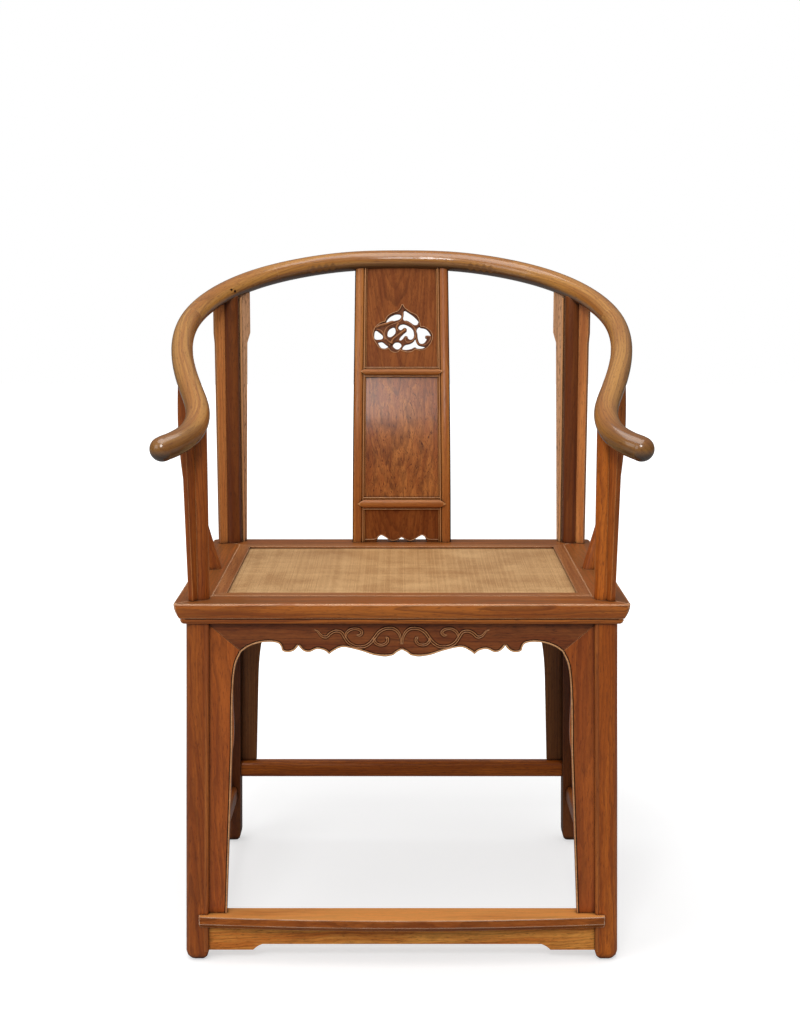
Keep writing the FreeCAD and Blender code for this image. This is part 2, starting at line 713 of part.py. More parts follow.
def woven_seat():
    """Cane mat on a coir webbing, both held down in the frame's recess by four strips."""
    gap = mm("mat_edge_gap")
    rabbet_x, rabbet_y = rabbet_half()
    sheet_x, sheet_y = rabbet_x - gap, rabbet_y - gap
    outline = chain([(-sheet_x, -sheet_y), (sheet_x, -sheet_y), (sheet_x, sheet_y), (-sheet_x, sheet_y)])
    webbing_low = rabbet_floor()
    mat_low = webbing_low + mm("webbing_thick")
    padded_body("seat_webbing", "XY_Plane", outline, "Sizes.webbing_thick",
                Placement(Vector(0, SEAT_Y, webbing_low), LEVEL), symmetric=False)
    padded_body("seat_mat", "XY_Plane", outline, "Sizes.mat_thick",
                Placement(Vector(0, SEAT_Y, mat_low), LEVEL), symmetric=False)
    strip_low = mat_low + mm("mat_thick")
    inner_x, inner_y = inner_half()
    for end_label, end in ENDS.items():
        points = [(-rabbet_x, end * rabbet_y), (rabbet_x, end * rabbet_y),
                  (inner_x, end * inner_y), (-inner_x, end * inner_y)]
        padded_body(f"mat_strip_{end_label}", "XY_Plane", chain(points), "Sizes.strip_thick",
                    Placement(Vector(0, SEAT_Y, strip_low), LEVEL), symmetric=False)
    for label, side in SIDES.items():
        points = [(side * rabbet_x, -rabbet_y), (side * rabbet_x, rabbet_y),
                  (side * inner_x, inner_y), (side * inner_x, -inner_y)]
        padded_body(f"mat_strip_{label}", "XY_Plane", chain(points), "Sizes.strip_thick",
                    Placement(Vector(0, SEAT_Y, strip_low), LEVEL), symmetric=False)


# Side braces: slender curved posts between the seat's side rails and the arms.

def brace_line(side):
    """Points along a brace, from the seat to the arm."""
    head, _ = crest_frame(side * mm("brace_top_run"))
    foot_y = SEAT_Y + mm("brace_foot_place")
    points = []
    for bulge, rise in BRACE_SHARES:
        points.append(Vector(side * (mm("brace_foot_side") + bulge * mm("brace_bulge")),
                             foot_y + (head.y - foot_y) * rise, SEAT_TOP + (head.z - SEAT_TOP) * rise))
    return points


def brace_socket(name, side):
    foot = brace_line(side)[0]
    return rod(name, foot - Vector(0, 0, mm("brace_tenon_length")), foot, "Sizes.brace_tenon_diameter / 2")


def brace_tenon(side):
    """Tenon that enters the arm, along the brace's last stretch."""
    points = brace_line(side)
    upward = (points[-1] - points[-2]).normalize()
    length = mm("crest_arm_diameter")
    return Part.makeCylinder(mm("brace_tenon_diameter") / 2, length,
                             points[-1] - upward * (length - mm("post_tenon_length")), upward)


def side_braces(tubes):
    """S-curved braces, thicker at the seat than under the arm."""
    for label, side in SIDES.items():
        points = brace_line(side)
        curve = Part.BSplineCurve()
        curve.interpolate(points)
        first, last = curve.FirstParameter, curve.LastParameter
        thick, thin = mm("brace_foot_diameter"), mm("brace_top_diameter")
        rings = []
        count = 2 * (len(points) - 1)
        for i in range(count + 1):
            share = i / count
            where = first + (last - first) * share
            diameter = thick + (thin - thick) * share
            turn = Rotation() if i == 0 else Rotation(Vector(0, 0, 1), curve.tangent(where)[0])
            ring = Part.Wire(Part.makeCircle(diameter / 2))
            ring.Placement = Placement(curve.value(where), turn)
            rings.append(ring)
        shaft = Part.makeLoft(rings, True, False).cut(tubes[side])
        foot = points[0]
        spigot = Part.makeCylinder(mm("brace_tenon_diameter") / 2, mm("brace_tenon_length"),
                                   foot - Vector(0, 0, mm("brace_tenon_length")))
        feature(f"side_brace_{label}", shaft.fuse([spigot, brace_tenon(side)]))


# Standing flanges: thin boards that stand in a groove of each post, under the crest rail.

def flange(name, side, end, shares, widths, ahead, crest):
    """A board beside a post; widths are measured from the post's middle, from the seat upwards.

    Its head follows the crest rail's middle line, ahead of the post or behind it.
    """
    foot, head = post_line(side, end)
    base = Vector(foot.x, foot.y, SEAT_TOP)
    outward = Vector(side * shares[0], shares[1], 0).normalize()
    inner = mm("post_diameter") / 2 - mm("flange_groove")
    run = FRONT_POST_RUN if end < 0 else mm("rear_post_run")
    inner_top, top = [crest_frame(run + ahead * reach)[0].z - SEAT_TOP for reach in (inner, widths[-1])]
    points = [(inner, 0), (widths[0], 0)]
    if len(widths) == 3:
        neck, head_width = widths[1:]
        step = mm("flange_step_height") - SEAT_TOP
        length = mm("flange_step_length")
        middle = ((neck + head_width) / 2, step + length / 2)
        shoulder = [(neck, step), middle, (head_width, step + length)]
        edges = [line(points[0], points[1]), line(points[1], shoulder[0]), spline(shoulder),
                 line(shoulder[-1], (widths[2], top)), line((widths[2], top), (inner, inner_top)),
                 line((inner, inner_top), points[0])]
    else:
        edges = chain(points + [(widths[1], top), (inner, inner_top)])
    turn = Rotation(outward, Vector(0, 0, 1), outward.cross(Vector(0, 0, 1)), "YXZ")
    lean = Rotation(Vector(0, 0, 1), head - foot)
    board = extrusion(f"{name}_board", edges, Placement(base, lean.multiply(turn)), "Sizes.flange_thick")
    over = mm("overrun")
    bottom = box(f"{name}_seat_trim", (base.x - over, base.y - over, SEAT_TOP - over),
                 "2 * Sizes.overrun", "2 * Sizes.overrun", "Sizes.overrun")
    cut(name, board, crest, bottom)
    return doc.getObject(name)


# Splat: a curved board of two stiles, two cross rails and three panels.

SPLAT_LEAN = mm("crest_back_place") - mm("splat_base_place")
SPLAT_RISE = mm("crest_back_height") - SEAT_TOP


def splat_line():
    curve = Part.BSplineCurve()
    base = SEAT_Y + mm("splat_base_place")
    curve.interpolate([Vector(base + lean * SPLAT_LEAN, SEAT_TOP + rise * SPLAT_RISE, 0)
                       for lean, rise in SPLAT_SHARES])
    return curve


def splat_slab(name, front, back, length):
    """Curved slab between two lines at a distance in front of and behind the splat's own line."""
    curve = splat_line()
    count = len(SPLAT_SHARES) + 2
    lines = []
    for reach in (-front, back):
        points = []
        for i in range(count + 1):
            where = curve.FirstParameter + (curve.LastParameter - curve.FirstParameter) * i / count
            along = curve.tangent(where)[0]
            points.append(curve.value(where) + Vector(along.y, -along.x, 0) * reach)
        points[0].y = SEAT_TOP
        lines.append([(point.x, point.y) for point in points])
    ahead, behind = lines
    edges = [spline(ahead), line(ahead[-1], behind[-1]), spline(list(reversed(behind))),
             line(behind[0], ahead[0])]
    return extrusion(name, edges, Placement(Vector(), SIDEWAYS), length)


def front_prism(name, edges):
    """Outline in front view, drawn right through the splat."""
    return extrusion(name, edges, Placement(Vector(0, SEAT_Y + mm("splat_base_place"), 0), UPRIGHT),
                     "4 * (Sizes.crest_back_place - Sizes.splat_base_place) + 2 * Sizes.overrun")


def splat_half(height, inset=0.0):
    """Half the splat's width at a height; it narrows a little towards the crest rail."""
    foot, head = mm("splat_foot_width") / 2, mm("splat_head_width") / 2
    return foot + (head - foot) * (height - SEAT_TOP) / SPLAT_RISE - inset


def tapered(inset, low, high):
    """Outline across the splat, its ends at an inset from the outer edges."""
    return chain([(-splat_half(low, inset), low), (splat_half(low, inset), low),
                  (splat_half(high, inset), high), (-splat_half(high, inset), high)])


def leaf_outline(middle, half):
    """A pointed oval, as four arcs' worth of spline."""
    x, z = middle
    across, rise = half
    lower = spline([(x - across, z), (x, z - rise), (x + across, z)])
    upper = spline([(x + across, z), (x, z + rise), (x - across, z)])
    return [lower, upper]


def splat(crest_full, crest_groove):
    """The seven pieces of the splat, which stands on the seat and enters a groove in the crest."""
    stile = mm("splat_stile_width")
    tongue = stile - mm("splat_panel_tongue")
    thick, panel = mm("splat_thick"), mm("splat_panel_thick")
    top = mm("crest_back_height") + mm("overrun")
    upper = (mm("splat_upper_rail_bottom"), mm("splat_upper_rail_top"))
    lower = (mm("splat_lower_rail_bottom"), mm("splat_lower_rail_top"))
    reach = mm("splat_panel_tongue")
    full = splat_slab("splat_full", thick / 2, thick / 2, "Sizes.splat_foot_width")
    thin = splat_slab("splat_thin", panel / 2, panel / 2, "Sizes.splat_foot_width")
    proud = splat_slab("splat_proud", thick / 2 + mm("splat_rail_proud"), thick / 2, "Sizes.splat_foot_width")
    coped = cut("splat_coped", full, crest_full)
    tongued = cut("splat_tongued", thin, crest_groove)
    board = joined("splat_board", coped, tongued)
    panels = {
        "splat_top_panel": (upper[1] - reach, top),
        "splat_middle_panel": (lower[1] - reach, upper[0] + reach),
        "splat_bottom_panel": (SEAT_TOP, lower[0] + reach),
    }
    piercings = {"splat_top_panel": medallion(), "splat_bottom_panel": splat_foot()}
    made = []
    for name, (low, high) in panels.items():
        outline = front_prism(f"{name}_outline", tapered(tongue, low, high))
        if name in piercings:
            made.append(cut(name, common(f"{name}_blank", tongued, outline), *piercings[name]))
        else:
            made.append(common(name, tongued, outline))
    rails = []
    for name, (low, high) in (("splat_upper_rail", upper), ("splat_lower_rail", lower)):
        face = common(f"{name}_face", proud, front_prism(f"{name}_front", tapered(stile, low, high)))
        ends = stile - mm("splat_rail_tenon")
        tenons = common(f"{name}_tenons", thin,
                        front_prism(f"{name}_long", tapered(ends, low + reach / 2, high - reach / 2)))
        whole = joined(f"{name}_whole", face, tenons)
        rails.append(cut(name, whole, *made))
    for label, side in SIDES.items():
        name = f"splat_stile_{label}"
        foot = [(side * splat_half(SEAT_TOP, stile), SEAT_TOP), (side * splat_half(SEAT_TOP), SEAT_TOP)]
        head = [(side * splat_half(top), top), (side * splat_half(top, stile), top)]
        blank = common(f"{name}_blank", board, front_prism(f"{name}_outline", chain(foot + head)))
        cut(name, blank, *made, *rails)


def medallion():
    """Pierced leaves of the carved cloud on the top panel."""
    half_x, half_z = mm("medallion_width") / 2, mm("medallion_height") / 2
    leaves = []
    for i, (x, z, across, rise) in enumerate(MEDALLION_SHARES):
        middle = (x * half_x, mm("medallion_middle") + z * half_z)
        edges = leaf_outline(middle, (across * half_x, rise * half_z))
        leaves.append(front_prism(f"medallion_leaf_{i}", edges))
    return leaves


def splat_foot():
    """Low shaped opening under the bottom panel."""
    reach = splat_half(SEAT_TOP, mm("splat_stile_width"))
    points = [(x * reach, SEAT_TOP + z * mm("splat_foot_height")) for x, z in SPLAT_FOOT_SHARES]
    other = mirrored(points)
    return [front_prism("splat_foot_arch", [spline(points), spline(other), line(other[-1], points[0])])]


# Aprons and standing spandrels, set in grooves of the legs, leaning with them.

def opening(end=None, side=None):
    """Half width at the seat, growth of it towards the floor and placement of an opening's plane."""
    leg_half = mm("leg_size") / 2
    depth = mm("apron_set") - leg_half + mm("apron_thick") / 2
    if end is not None:
        place = mm("leg_place_front") if end < 0 else mm("leg_place_back")
        tilt = math.degrees(math.atan2(mm("leg_splay_ends"), UNDER)) * end
        turn = Rotation(Vector(1, 0, 0), tilt)
        base = Vector(0, SEAT_Y + end * (place - depth), UNDER)
        return mm("leg_place_side") - leg_half, mm("leg_splay_side"), Placement(base, turn)
    tilt = -math.degrees(math.atan2(mm("leg_splay_side"), UNDER)) * side
    middle = (mm("leg_place_back") - mm("leg_place_front")) / 2
    base = Vector(side * (mm("leg_place_side") - depth), SEAT_Y + middle, UNDER)
    half = (mm("leg_place_back") + mm("leg_place_front")) / 2 - leg_half
    return half, mm("leg_splay_ends"), Placement(base, Rotation(Vector(0, 1, 0), tilt))


def apron_edge(shares, half, drop):
    """Lower edge from the right mitre to the middle, as a list of smooth stretches."""
    return [[(x * half, -z * drop) for x, z in stretch] for stretch in shares]


def apron(name, role, frame, shares, drop_name):
    """The horizontal board of a three-sided apron."""
    half, growth, placement = frame
    drop = mm(drop_name)
    stretches = apron_edge(shares, half, drop)
    outer = half + mm("groove_depth")
    right = [spline(stretch) for stretch in stretches]
    left = [spline(mirrored(stretch)) for stretch in reversed(stretches)]
    notch = stretches[0][0]
    edges = [line((-outer, 0), (outer, 0)), line((outer, 0), notch), *right, *left,
             line((-notch[0], notch[1]), (-outer, 0))]
    return padded_body(name, role, edges, "Sizes.apron_thick", placement)


def spandrel(name, role, frame, hand, shares, curve_shares, drop_name, floor):
    """The standing board of a three-sided apron, from its mitre down to the rail below."""
    half, growth, placement = frame
    outer = half + mm("groove_depth")
    length = (UNDER - floor) / math.cos(math.atan2(growth, UNDER))
    notch_x, notch_z = apron_edge(shares, half, mm(drop_name))[0][0]
    foot_outer = outer + growth * length / UNDER
    foot_inner = half + growth * length / UNDER - mm("spandrel_foot_width")
    curve = [(notch_x, notch_z)]
    curve += [(foot_inner - (foot_inner - notch_x) * x, notch_z - (length + notch_z) * z)
              for x, z in curve_shares]
    points = [(hand * x, z) for x, z in curve]
    foot = (hand * foot_inner, -length)
    edges = [line((hand * outer, 0), points[0]), spline(points), line(points[-1], foot),
             line(foot, (hand * foot_outer, -length)), line((hand * foot_outer, -length), (hand * outer, 0))]
    return padded_body(name, role, edges, "Sizes.apron_thick", placement)


def aprons():
    """Four three-sided aprons; returns the boards that each leg is grooved for."""
    grooves = {(end, side): [] for end in ENDS.values() for side in SIDES.values()}
    plans = {-1: (FRONT_APRON_SHARES, FRONT_SPANDREL_SHARES, "apron_drop", mm("footrail_top")),
             1: (PLAIN_APRON_SHARES, PLAIN_SPANDREL_SHARES, "rear_apron_drop", mm("rear_stretcher_top"))}
    for end_label, end in ENDS.items():
        shares, curve_shares, drop_name, floor = plans[end]
        frame = opening(end=end)
        board = apron(f"{end_label}_apron", "XZ_Plane", frame, shares, drop_name)
        for label, side in SIDES.items():
            stand = spandrel(f"{end_label}_spandrel_{label}", "XZ_Plane", frame, side, shares, curve_shares,
                             drop_name, floor)
            grooves[(end, side)] += [board, stand]
    for label, side in SIDES.items():
        frame = opening(side=side)
        board = apron(f"side_apron_{label}", "YZ_Plane", frame, PLAIN_APRON_SHARES, "side_apron_drop")
        for end_label, end in ENDS.items():
            stand = spandrel(f"side_spandrel_{label}_{end_label}", "YZ_Plane", frame, end, PLAIN_APRON_SHARES,
                             PLAIN_SPANDREL_SHARES, "side_apron_drop", mm("side_stretcher_top"))
            grooves[(end, side)] += [board, stand]
    return grooves


# Footrail and stretchers, tenoned into the legs at rising heights.

def tenon_bar(name, low, length, width, height, leg):
    """The part of a tenon that lies inside its leg."""
    bar = box(f"{name}_bar", low, length, width, height)
    return bar, common(f"{name}_in_leg", bar, leg)


def footrail():
    """Board whose nose bows forward past the legs; its back part is tenoned between them."""
    half = mm("footrail_half_length")
    back = -mm("footrail_back_place")
    end_y = -mm("footrail_end_place")
    front_y = end_y - mm("footrail_bow")
    arc = Part.Arc(Vector(-half, end_y, 0), Vector(0, front_y, 0), Vector(half, end_y, 0))
    edges = [arc, line((half, end_y), (half, back)), line((half, back), (-half, back)),
             line((-half, back), (-half, end_y))]
    low = mm("footrail_top") - mm("footrail_thick")
    blank = padded_body("footrail_blank", "XY_Plane", edges, "Sizes.footrail_thick",
                        Placement(Vector(0, SEAT_Y, low), LEVEL), symmetric=False)
    doc.recompute()
    nose = blank.newObject("PartDesign::Chamfer", "footrail_nose_chamfer")
    pad = doc.getObject("footrail_blank_pad")
    size = mm("footrail_nose")
    picked = [f"Edge{i}" for i, edge in enumerate(pad.Shape.Edges, start=1)
              if edge.BoundBox.YMin < front_y + size and edge.BoundBox.ZMax < size]
    nose.Base = (pad, picked)
    bind(nose, Size="Sizes.footrail_nose")
    tenons, mortises = [], {}
    for label, side in SIDES.items():
        leg = LEG_BLANKS[(-1, side)]
        axis = leg_axis(side, -1, low)
        corner = (axis.x - (mm("leg_size") if side > 0 else 0), axis.y - mm("stretcher_tenon_width") / 2,
                  low + mm("footrail_thick") / 4)
        bar, tenon = tenon_bar(f"footrail_tenon_{label}", corner, "Sizes.leg_size",
                               "Sizes.stretcher_tenon_width", "Sizes.footrail_thick / 2", leg)
        tenons.append(tenon)
        mortises[(-1, side)] = bar
    body = cut("footrail_coped", blank, *[LEG_BLANKS[(-1, side)] for side in SIDES.values()])
    joined("footrail", body, *tenons)
    return mortises


def footrail_apron():
    """Low apron under the footrail, stepped up between its ends."""
    half, growth, placement = opening(end=-1)
    top = UNDER - (mm("footrail_top") - mm("footrail_thick"))
    bottom = UNDER - mm("footrail_apron_floor")
    outer_top = half + growth * top / UNDER
    outer_bottom = half + growth * bottom / UNDER
    step = outer_bottom - mm("footrail_apron_step")
    rise = bottom - mm("footrail_apron_lift")
    ogee = mm("footrail_apron_ogee")
    sweep = [(step, -bottom), (step - ogee * OGEE_SHARE, -(bottom + rise) / 2), (step - ogee, -rise)]
    edges = [line((-outer_top, -top), (outer_top, -top)), line((outer_top, -top), (outer_bottom, -bottom)),
             line((outer_bottom, -bottom), sweep[0]), spline(sweep),
             line(sweep[-1], (-sweep[-1][0], sweep[-1][1])), spline(mirrored(sweep)),
             line((-step, -bottom), (-outer_bottom, -bottom)),
             line((-outer_bottom, -bottom), (-outer_top, -top))]
    flat = Placement(Vector(0, SEAT_Y - mm("footrail_apron_place"), UNDER), LEVEL)
    padded_body("footrail_apron", "XZ_Plane", edges, "Sizes.footrail_apron_thick", flat)


def stretcher_section():
    """Rounded section, wider than the tenons, drawn from its middle."""
    x, z = mm("stretcher_width") / 2, mm("stretcher_height") / 2
    return rounded_chain([(-x, -z), (x, -z), (x, z), (-x, z)], [mm("stretcher_round")] * 4)


def side_stretchers():
    """Stretchers from front leg to rear leg, on tenons blind in front and through behind."""
    mortises = {key: [] for key in LEG_BLANKS}
    middle = mm("side_stretcher_top") - mm("stretcher_height") / 2
    for label, side in SIDES.items():
        front, back = leg_axis(side, -1, middle), leg_axis(side, 1, middle)
        place = Placement(Vector(front.x, (front.y + back.y) / 2, middle), UPRIGHT)
        blank = extrusion(f"side_stretcher_{label}_blank", stretcher_section(), place,
                          "Sizes.leg_place_front + Sizes.leg_place_back")
        pieces = []
        for end_label, end in ENDS.items():
            axis = front if end < 0 else back
            reach = mm("stretcher_tenon_reach") if end < 0 else mm("leg_size")
            low = (axis.x - mm("stretcher_tenon_width") / 2, axis.y - reach,
                   middle - mm("stretcher_tenon_height") / 2)
            bar, tenon = tenon_bar(f"side_tenon_{label}_{end_label}", low, "Sizes.stretcher_tenon_width",
                                   "2 * Sizes.leg_size", "Sizes.stretcher_tenon_height",
                                   LEG_BLANKS[(end, side)])
            pieces.append(tenon)
            mortises[(end, side)].append(bar)
        body = cut(f"side_stretcher_{label}_coped", blank, LEG_BLANKS[(-1, side)], LEG_BLANKS[(1, side)])
        joined(f"side_stretcher_{label}", body, *pieces)
    return mortises


def rear_stretcher():
    """The highest stretcher, across the back, on blind tenons."""
    middle = mm("rear_stretcher_top") - mm("stretcher_height") / 2
    axis = leg_axis(1, 1, middle)
    place = Placement(Vector(0, axis.y, middle), SIDEWAYS)
    blank = extrusion("rear_stretcher_blank", stretcher_section(), place, "2 * Sizes.leg_place_side")
    pieces, mortises = [], {}
    for label, side in SIDES.items():
        corner = (side * axis.x - (mm("leg_size") if side > 0 else 0),
                  axis.y - mm("stretcher_tenon_width") / 2, middle - mm("stretcher_tenon_height") / 2)
        bar, tenon = tenon_bar(f"rear_tenon_{label}", corner, "Sizes.leg_size",
                               "Sizes.stretcher_tenon_width", "Sizes.stretcher_tenon_height",
                               LEG_BLANKS[(1, side)])
        pieces.append(tenon)
        mortises[(1, side)] = bar
    body = cut("rear_stretcher_coped", blank, LEG_BLANKS[(1, -1)], LEG_BLANKS[(1, 1)])
    joined("rear_stretcher", body, *pieces)
    return mortises


# The whole chair.

LEG_BLANKS = {(end, side): leg_blank(f"{end_label}_leg_{label}_blank", side, end)
              for end_label, end in ENDS.items() for label, side in SIDES.items()}

crest_shapes, peg_shapes = crest_sections()


def tube_around(name, side, run, reach, inset=0.0):
    """Length of plain rail around a run, for coping what meets the rail."""
    start, stop = sorted((side * (run - reach), side * min(run + reach, CREST_LENGTH)))
    return feature(name, crest_tube(start, stop, inset))


near = 2 * mm("inner_flange_top")
crest_front, crest_rear, crest_side = {}, {}, {}
for label, side in SIDES.items():
    crest_front[side] = tube_around(f"crest_front_tool_{label}", side, FRONT_POST_RUN, near)
    crest_rear[side] = tube_around(f"crest_rear_tool_{label}", side, mm("rear_post_run"), near)
    crest_side[side] = tube_around(f"crest_side_tool_{label}", side, mm("brace_top_run"), near)
crest_back = tube_around("crest_back_tool", 1, 0, mm("splat_foot_width"))
crest_core = tube_around("crest_core_tool", 1, 0, mm("splat_foot_width"), mm("splat_groove_depth"))

grooves = aprons()
footrail_apron()
for mortises in (footrail(), rear_stretcher()):
    for key, bar in mortises.items():
        grooves[key].append(bar)
for key, bars in side_stretchers().items():
    grooves[key] += bars

for label, side in SIDES.items():
    grooves[(-1, side)].append(flange(
        f"front_flange_{label}", side, -1, FRONT_FLANGE_SHARES,
        (mm("front_flange_foot"), mm("front_flange_top")), 1, crest_front[side]))
    grooves[(1, side)].append(flange(
        f"rear_inner_flange_{label}", side, 1, INNER_FLANGE_SHARES,
        (mm("inner_flange_foot"), mm("inner_flange_neck"), mm("inner_flange_top")), -1, crest_rear[side]))
    grooves[(1, side)].append(flange(
        f"rear_outer_flange_{label}", side, 1, OUTER_FLANGE_SHARES,
        (mm("outer_flange_foot"), mm("outer_flange_neck"), mm("outer_flange_top")), 1, crest_rear[side]))

legs_and_posts({(end, side): crest_front[side] if end < 0 else crest_rear[side]
                for end in ENDS.values() for side in SIDES.values()}, grooves)
holes = []
for end_label, end in ENDS.items():
    for label, side in SIDES.items():
        foot, head = post_line(side, end)
        holes.append(rod(f"{end_label}_hole_{label}", foot - (head - foot).normalize() * mm("leg_size"), head,
                         "Sizes.post_diameter / 2"))
seat_frame(holes)
battens()
woven_seat()
splat(crest_back, crest_core)

side_braces({side: tool.Shape for side, tool in crest_side.items()})
doc.recompute()

for name, shape in crest_shapes.items():
    pegs = [feature(f"{name}_peg_{i}", peg) for i, peg in enumerate(peg_shapes)]
    cut(name, feature(f"{name}_blank", shape), *socket_tools(name), *pegs)
feature("crest_pegs", Part.makeCompound(peg_shapes))
doc.recompute()

NODES = [
    "crest_centre", "crest_shoulder_left", "crest_shoulder_right", "crest_arm_left", "crest_arm_right",
    "crest_pegs", "splat_stile_left", "splat_stile_right", "splat_upper_rail", "splat_lower_rail",
    "splat_top_panel", "splat_middle_panel", "splat_bottom_panel", "front_leg_left", "front_leg_right",
    "rear_leg_left", "rear_leg_right", "front_flange_left", "front_flange_right", "rear_inner_flange_left",
    "rear_inner_flange_right", "rear_outer_flange_left", "rear_outer_flange_right", "side_brace_left",
    "side_brace_right", "seat_front_rail", "seat_rear_rail", "seat_side_rail_left", "seat_side_rail_right",
    "mat_strip_front", "mat_strip_rear", "mat_strip_left", "mat_strip_right", "seat_mat", "seat_webbing",
    "seat_batten_left", "seat_batten_right", "front_apron", "front_spandrel_left", "front_spandrel_right",
    "side_apron_left", "side_apron_right", "side_spandrel_left_front", "side_spandrel_left_rear",
    "side_spandrel_right_front", "side_spandrel_right_rear", "rear_apron", "rear_spandrel_left",
    "rear_spandrel_right", "footrail", "footrail_apron", "side_stretcher_left", "side_stretcher_right",
    "rear_stretcher",
]

for item in doc.Objects:
    if "Invalid" in item.State or "Error" in item.State:
        raise RuntimeError(f"{item.Label} did not build: {item.State}")
finished = {item.Label: item for item in doc.Objects if item.Label in NODES}
for name in NODES:
    shape = finished[name].Shape
    if shape.isNull() or not shape.isValid() or not shape.Solids:
        raise RuntimeError(f"{name} has no valid solid")
for name in NODES:
    finished[name].Shape.exportStep(f"parts/{name}.step")
    print(f"{name}: {len(finished[name].Shape.Solids)} solids")
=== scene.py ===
import json
import math
from contextlib import contextmanager

import bmesh
import bpy
import numpy as np
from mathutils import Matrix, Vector


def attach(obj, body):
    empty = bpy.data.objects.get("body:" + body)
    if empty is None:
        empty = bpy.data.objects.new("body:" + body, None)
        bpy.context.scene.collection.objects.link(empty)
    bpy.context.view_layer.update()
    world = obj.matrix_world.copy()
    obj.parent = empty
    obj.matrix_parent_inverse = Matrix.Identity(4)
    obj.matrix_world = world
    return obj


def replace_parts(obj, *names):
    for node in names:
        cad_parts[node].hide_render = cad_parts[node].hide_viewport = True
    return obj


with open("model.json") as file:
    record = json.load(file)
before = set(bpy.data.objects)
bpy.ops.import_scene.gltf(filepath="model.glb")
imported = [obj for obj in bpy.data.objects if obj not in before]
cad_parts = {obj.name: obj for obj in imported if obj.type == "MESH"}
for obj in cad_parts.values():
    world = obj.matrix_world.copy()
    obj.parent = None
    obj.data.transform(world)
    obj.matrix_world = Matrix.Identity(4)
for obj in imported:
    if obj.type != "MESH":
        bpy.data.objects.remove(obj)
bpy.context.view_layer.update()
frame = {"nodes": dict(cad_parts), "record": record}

# Horseshoe back armchair: waxed hardwood, openwork splat and a woven cane seat.
# Metres. Seen from the front, X runs to the right, the front faces -Y and Z is up.

MM = 0.001
SEAT_Y = -25.7 * MM
SEAT_TOP = 509 * MM
UNDER = 479 * MM
FOOT_SPREAD_X, FOOT_SPREAD_Y = 9 * MM, 13 * MM
SLOT_OF = {row["node"]: row["material_slot"] for row in frame["record"]["subparts"]}

# Lines that the chair is drawn on, the same as the solids.
CREST_HALF_WIDTH = 322.5 * MM
CREST_FRONT = Vector((0, SEAT_Y - 196 * MM, 752.8 * MM))
CREST_BACK = Vector((0, SEAT_Y + 325 * MM, 958 * MM))
CREST_SHARES = (
    (0.0, 1.0), (0.256, 0.990), (0.5055, 0.940), (0.746, 0.843), (0.902, 0.722),
    (0.9875, 0.576), (1.0, 0.482), (0.971, 0.318), (0.893, 0.137), (0.853, 0.046),
    (0.845, -0.005), (0.853, -0.055), (0.878, -0.095), (0.909, -0.121), (0.956, -0.148),
)
SPLAT_SHARES = ((0.0, 0.0), (0.018, 0.203), (0.173, 0.425), (0.475, 0.648), (0.742, 0.826), (1.0, 1.0))
SPLAT_BASE = SEAT_Y + 212.5 * MM
SPLAT_LEAN = 112.5 * MM
SPLAT_RISE = 449 * MM
SPLAT_TOP = 948 * MM
SPLAT_HALF, SPLAT_TAPER = 79 * MM, 3.5 * MM
APRON_EDGE = (
    ((0.836, 0.88), (0.795, 0.72), (0.738, 0.61), (0.682, 0.585), (0.642, 0.63), (0.627, 0.74)),
    ((0.627, 0.74), (0.621, 0.85), (0.595, 0.895), (0.562, 0.845), (0.538, 0.69)),
    ((0.538, 0.69), (0.514, 0.845), (0.482, 0.89), (0.442, 0.80), (0.402, 0.845), (0.378, 0.955)),
    ((0.378, 0.955), (0.353, 0.845), (0.305, 0.74), (0.217, 0.845), (0.137, 0.99), (0.057, 1.0),
     (0.025, 0.89), (0.0, 0.815)),
)
SPANDREL_EDGE = ((0.66, 0.058), (0.50, 0.18), (0.43, 0.376))
APRON_PLACE = 210 * MM
APRON_FACE = 4.5 * MM
APRON_TILT = math.atan2(FOOT_SPREAD_Y, UNDER)


# Lines through points.

def flowing(points, per=8, closed=False):
    """A smooth line through the points, as many short steps."""
    points = [np.array(point, float) for point in points]
    if closed:
        around = [points[-1]] + points + points[:2]
    else:
        around = [2 * points[0] - points[1]] + points + [2 * points[-1] - points[-2]]
    line = []
    for i in range(len(around) - 3):
        a, b, c, d = around[i:i + 4]
        for t in np.linspace(0, 1, per, endpoint=False):
            line.append(0.5 * (2 * b + (c - a) * t + (2 * a - 5 * b + 4 * c - d) * t ** 2
                               + (3 * b - a - 3 * c + d) * t ** 3))
    if not closed:
        line.append(points[-1])
    return np.array(line)


def crest_middle():
    """The crest rail's middle line from the left hand round to the right hand."""
    half = flowing(CREST_SHARES, 14)
    run = CREST_BACK - CREST_FRONT
    right = np.array([[x * CREST_HALF_WIDTH, CREST_FRONT.y + s * run.y, CREST_FRONT.z + s * run.z]
                      for x, s in half])
    return np.concatenate([right[:0:-1] * np.array([-1, 1, 1]), right])


CREST_LINE = crest_middle()
SPLAT_LINE = flowing(SPLAT_SHARES, 12)


def splat_place(z):
    """The splat's middle at a height: its place and the slope of its line."""
    share = (np.asarray(z, float) - SEAT_TOP) / SPLAT_RISE
    near = np.clip(share, 0.02, 0.98)
    place, above, below = (np.interp(at, SPLAT_LINE[:, 1], SPLAT_LINE[:, 0])
                           for at in (share, near + 0.02, near - 0.02))
    return SPLAT_BASE + SPLAT_LEAN * place, (above - below) * SPLAT_LEAN / (0.04 * SPLAT_RISE)


def on_splat(points):
    """Turns (across, height, distance in front of the middle) into places on the curved splat."""
    points = np.asarray(points, float)
    y, slope = splat_place(points[:, 1])
    length = np.sqrt(1 + slope ** 2)
    return np.stack([points[:, 0], y - points[:, 2] / length, points[:, 1] + points[:, 2] * slope / length], 1)


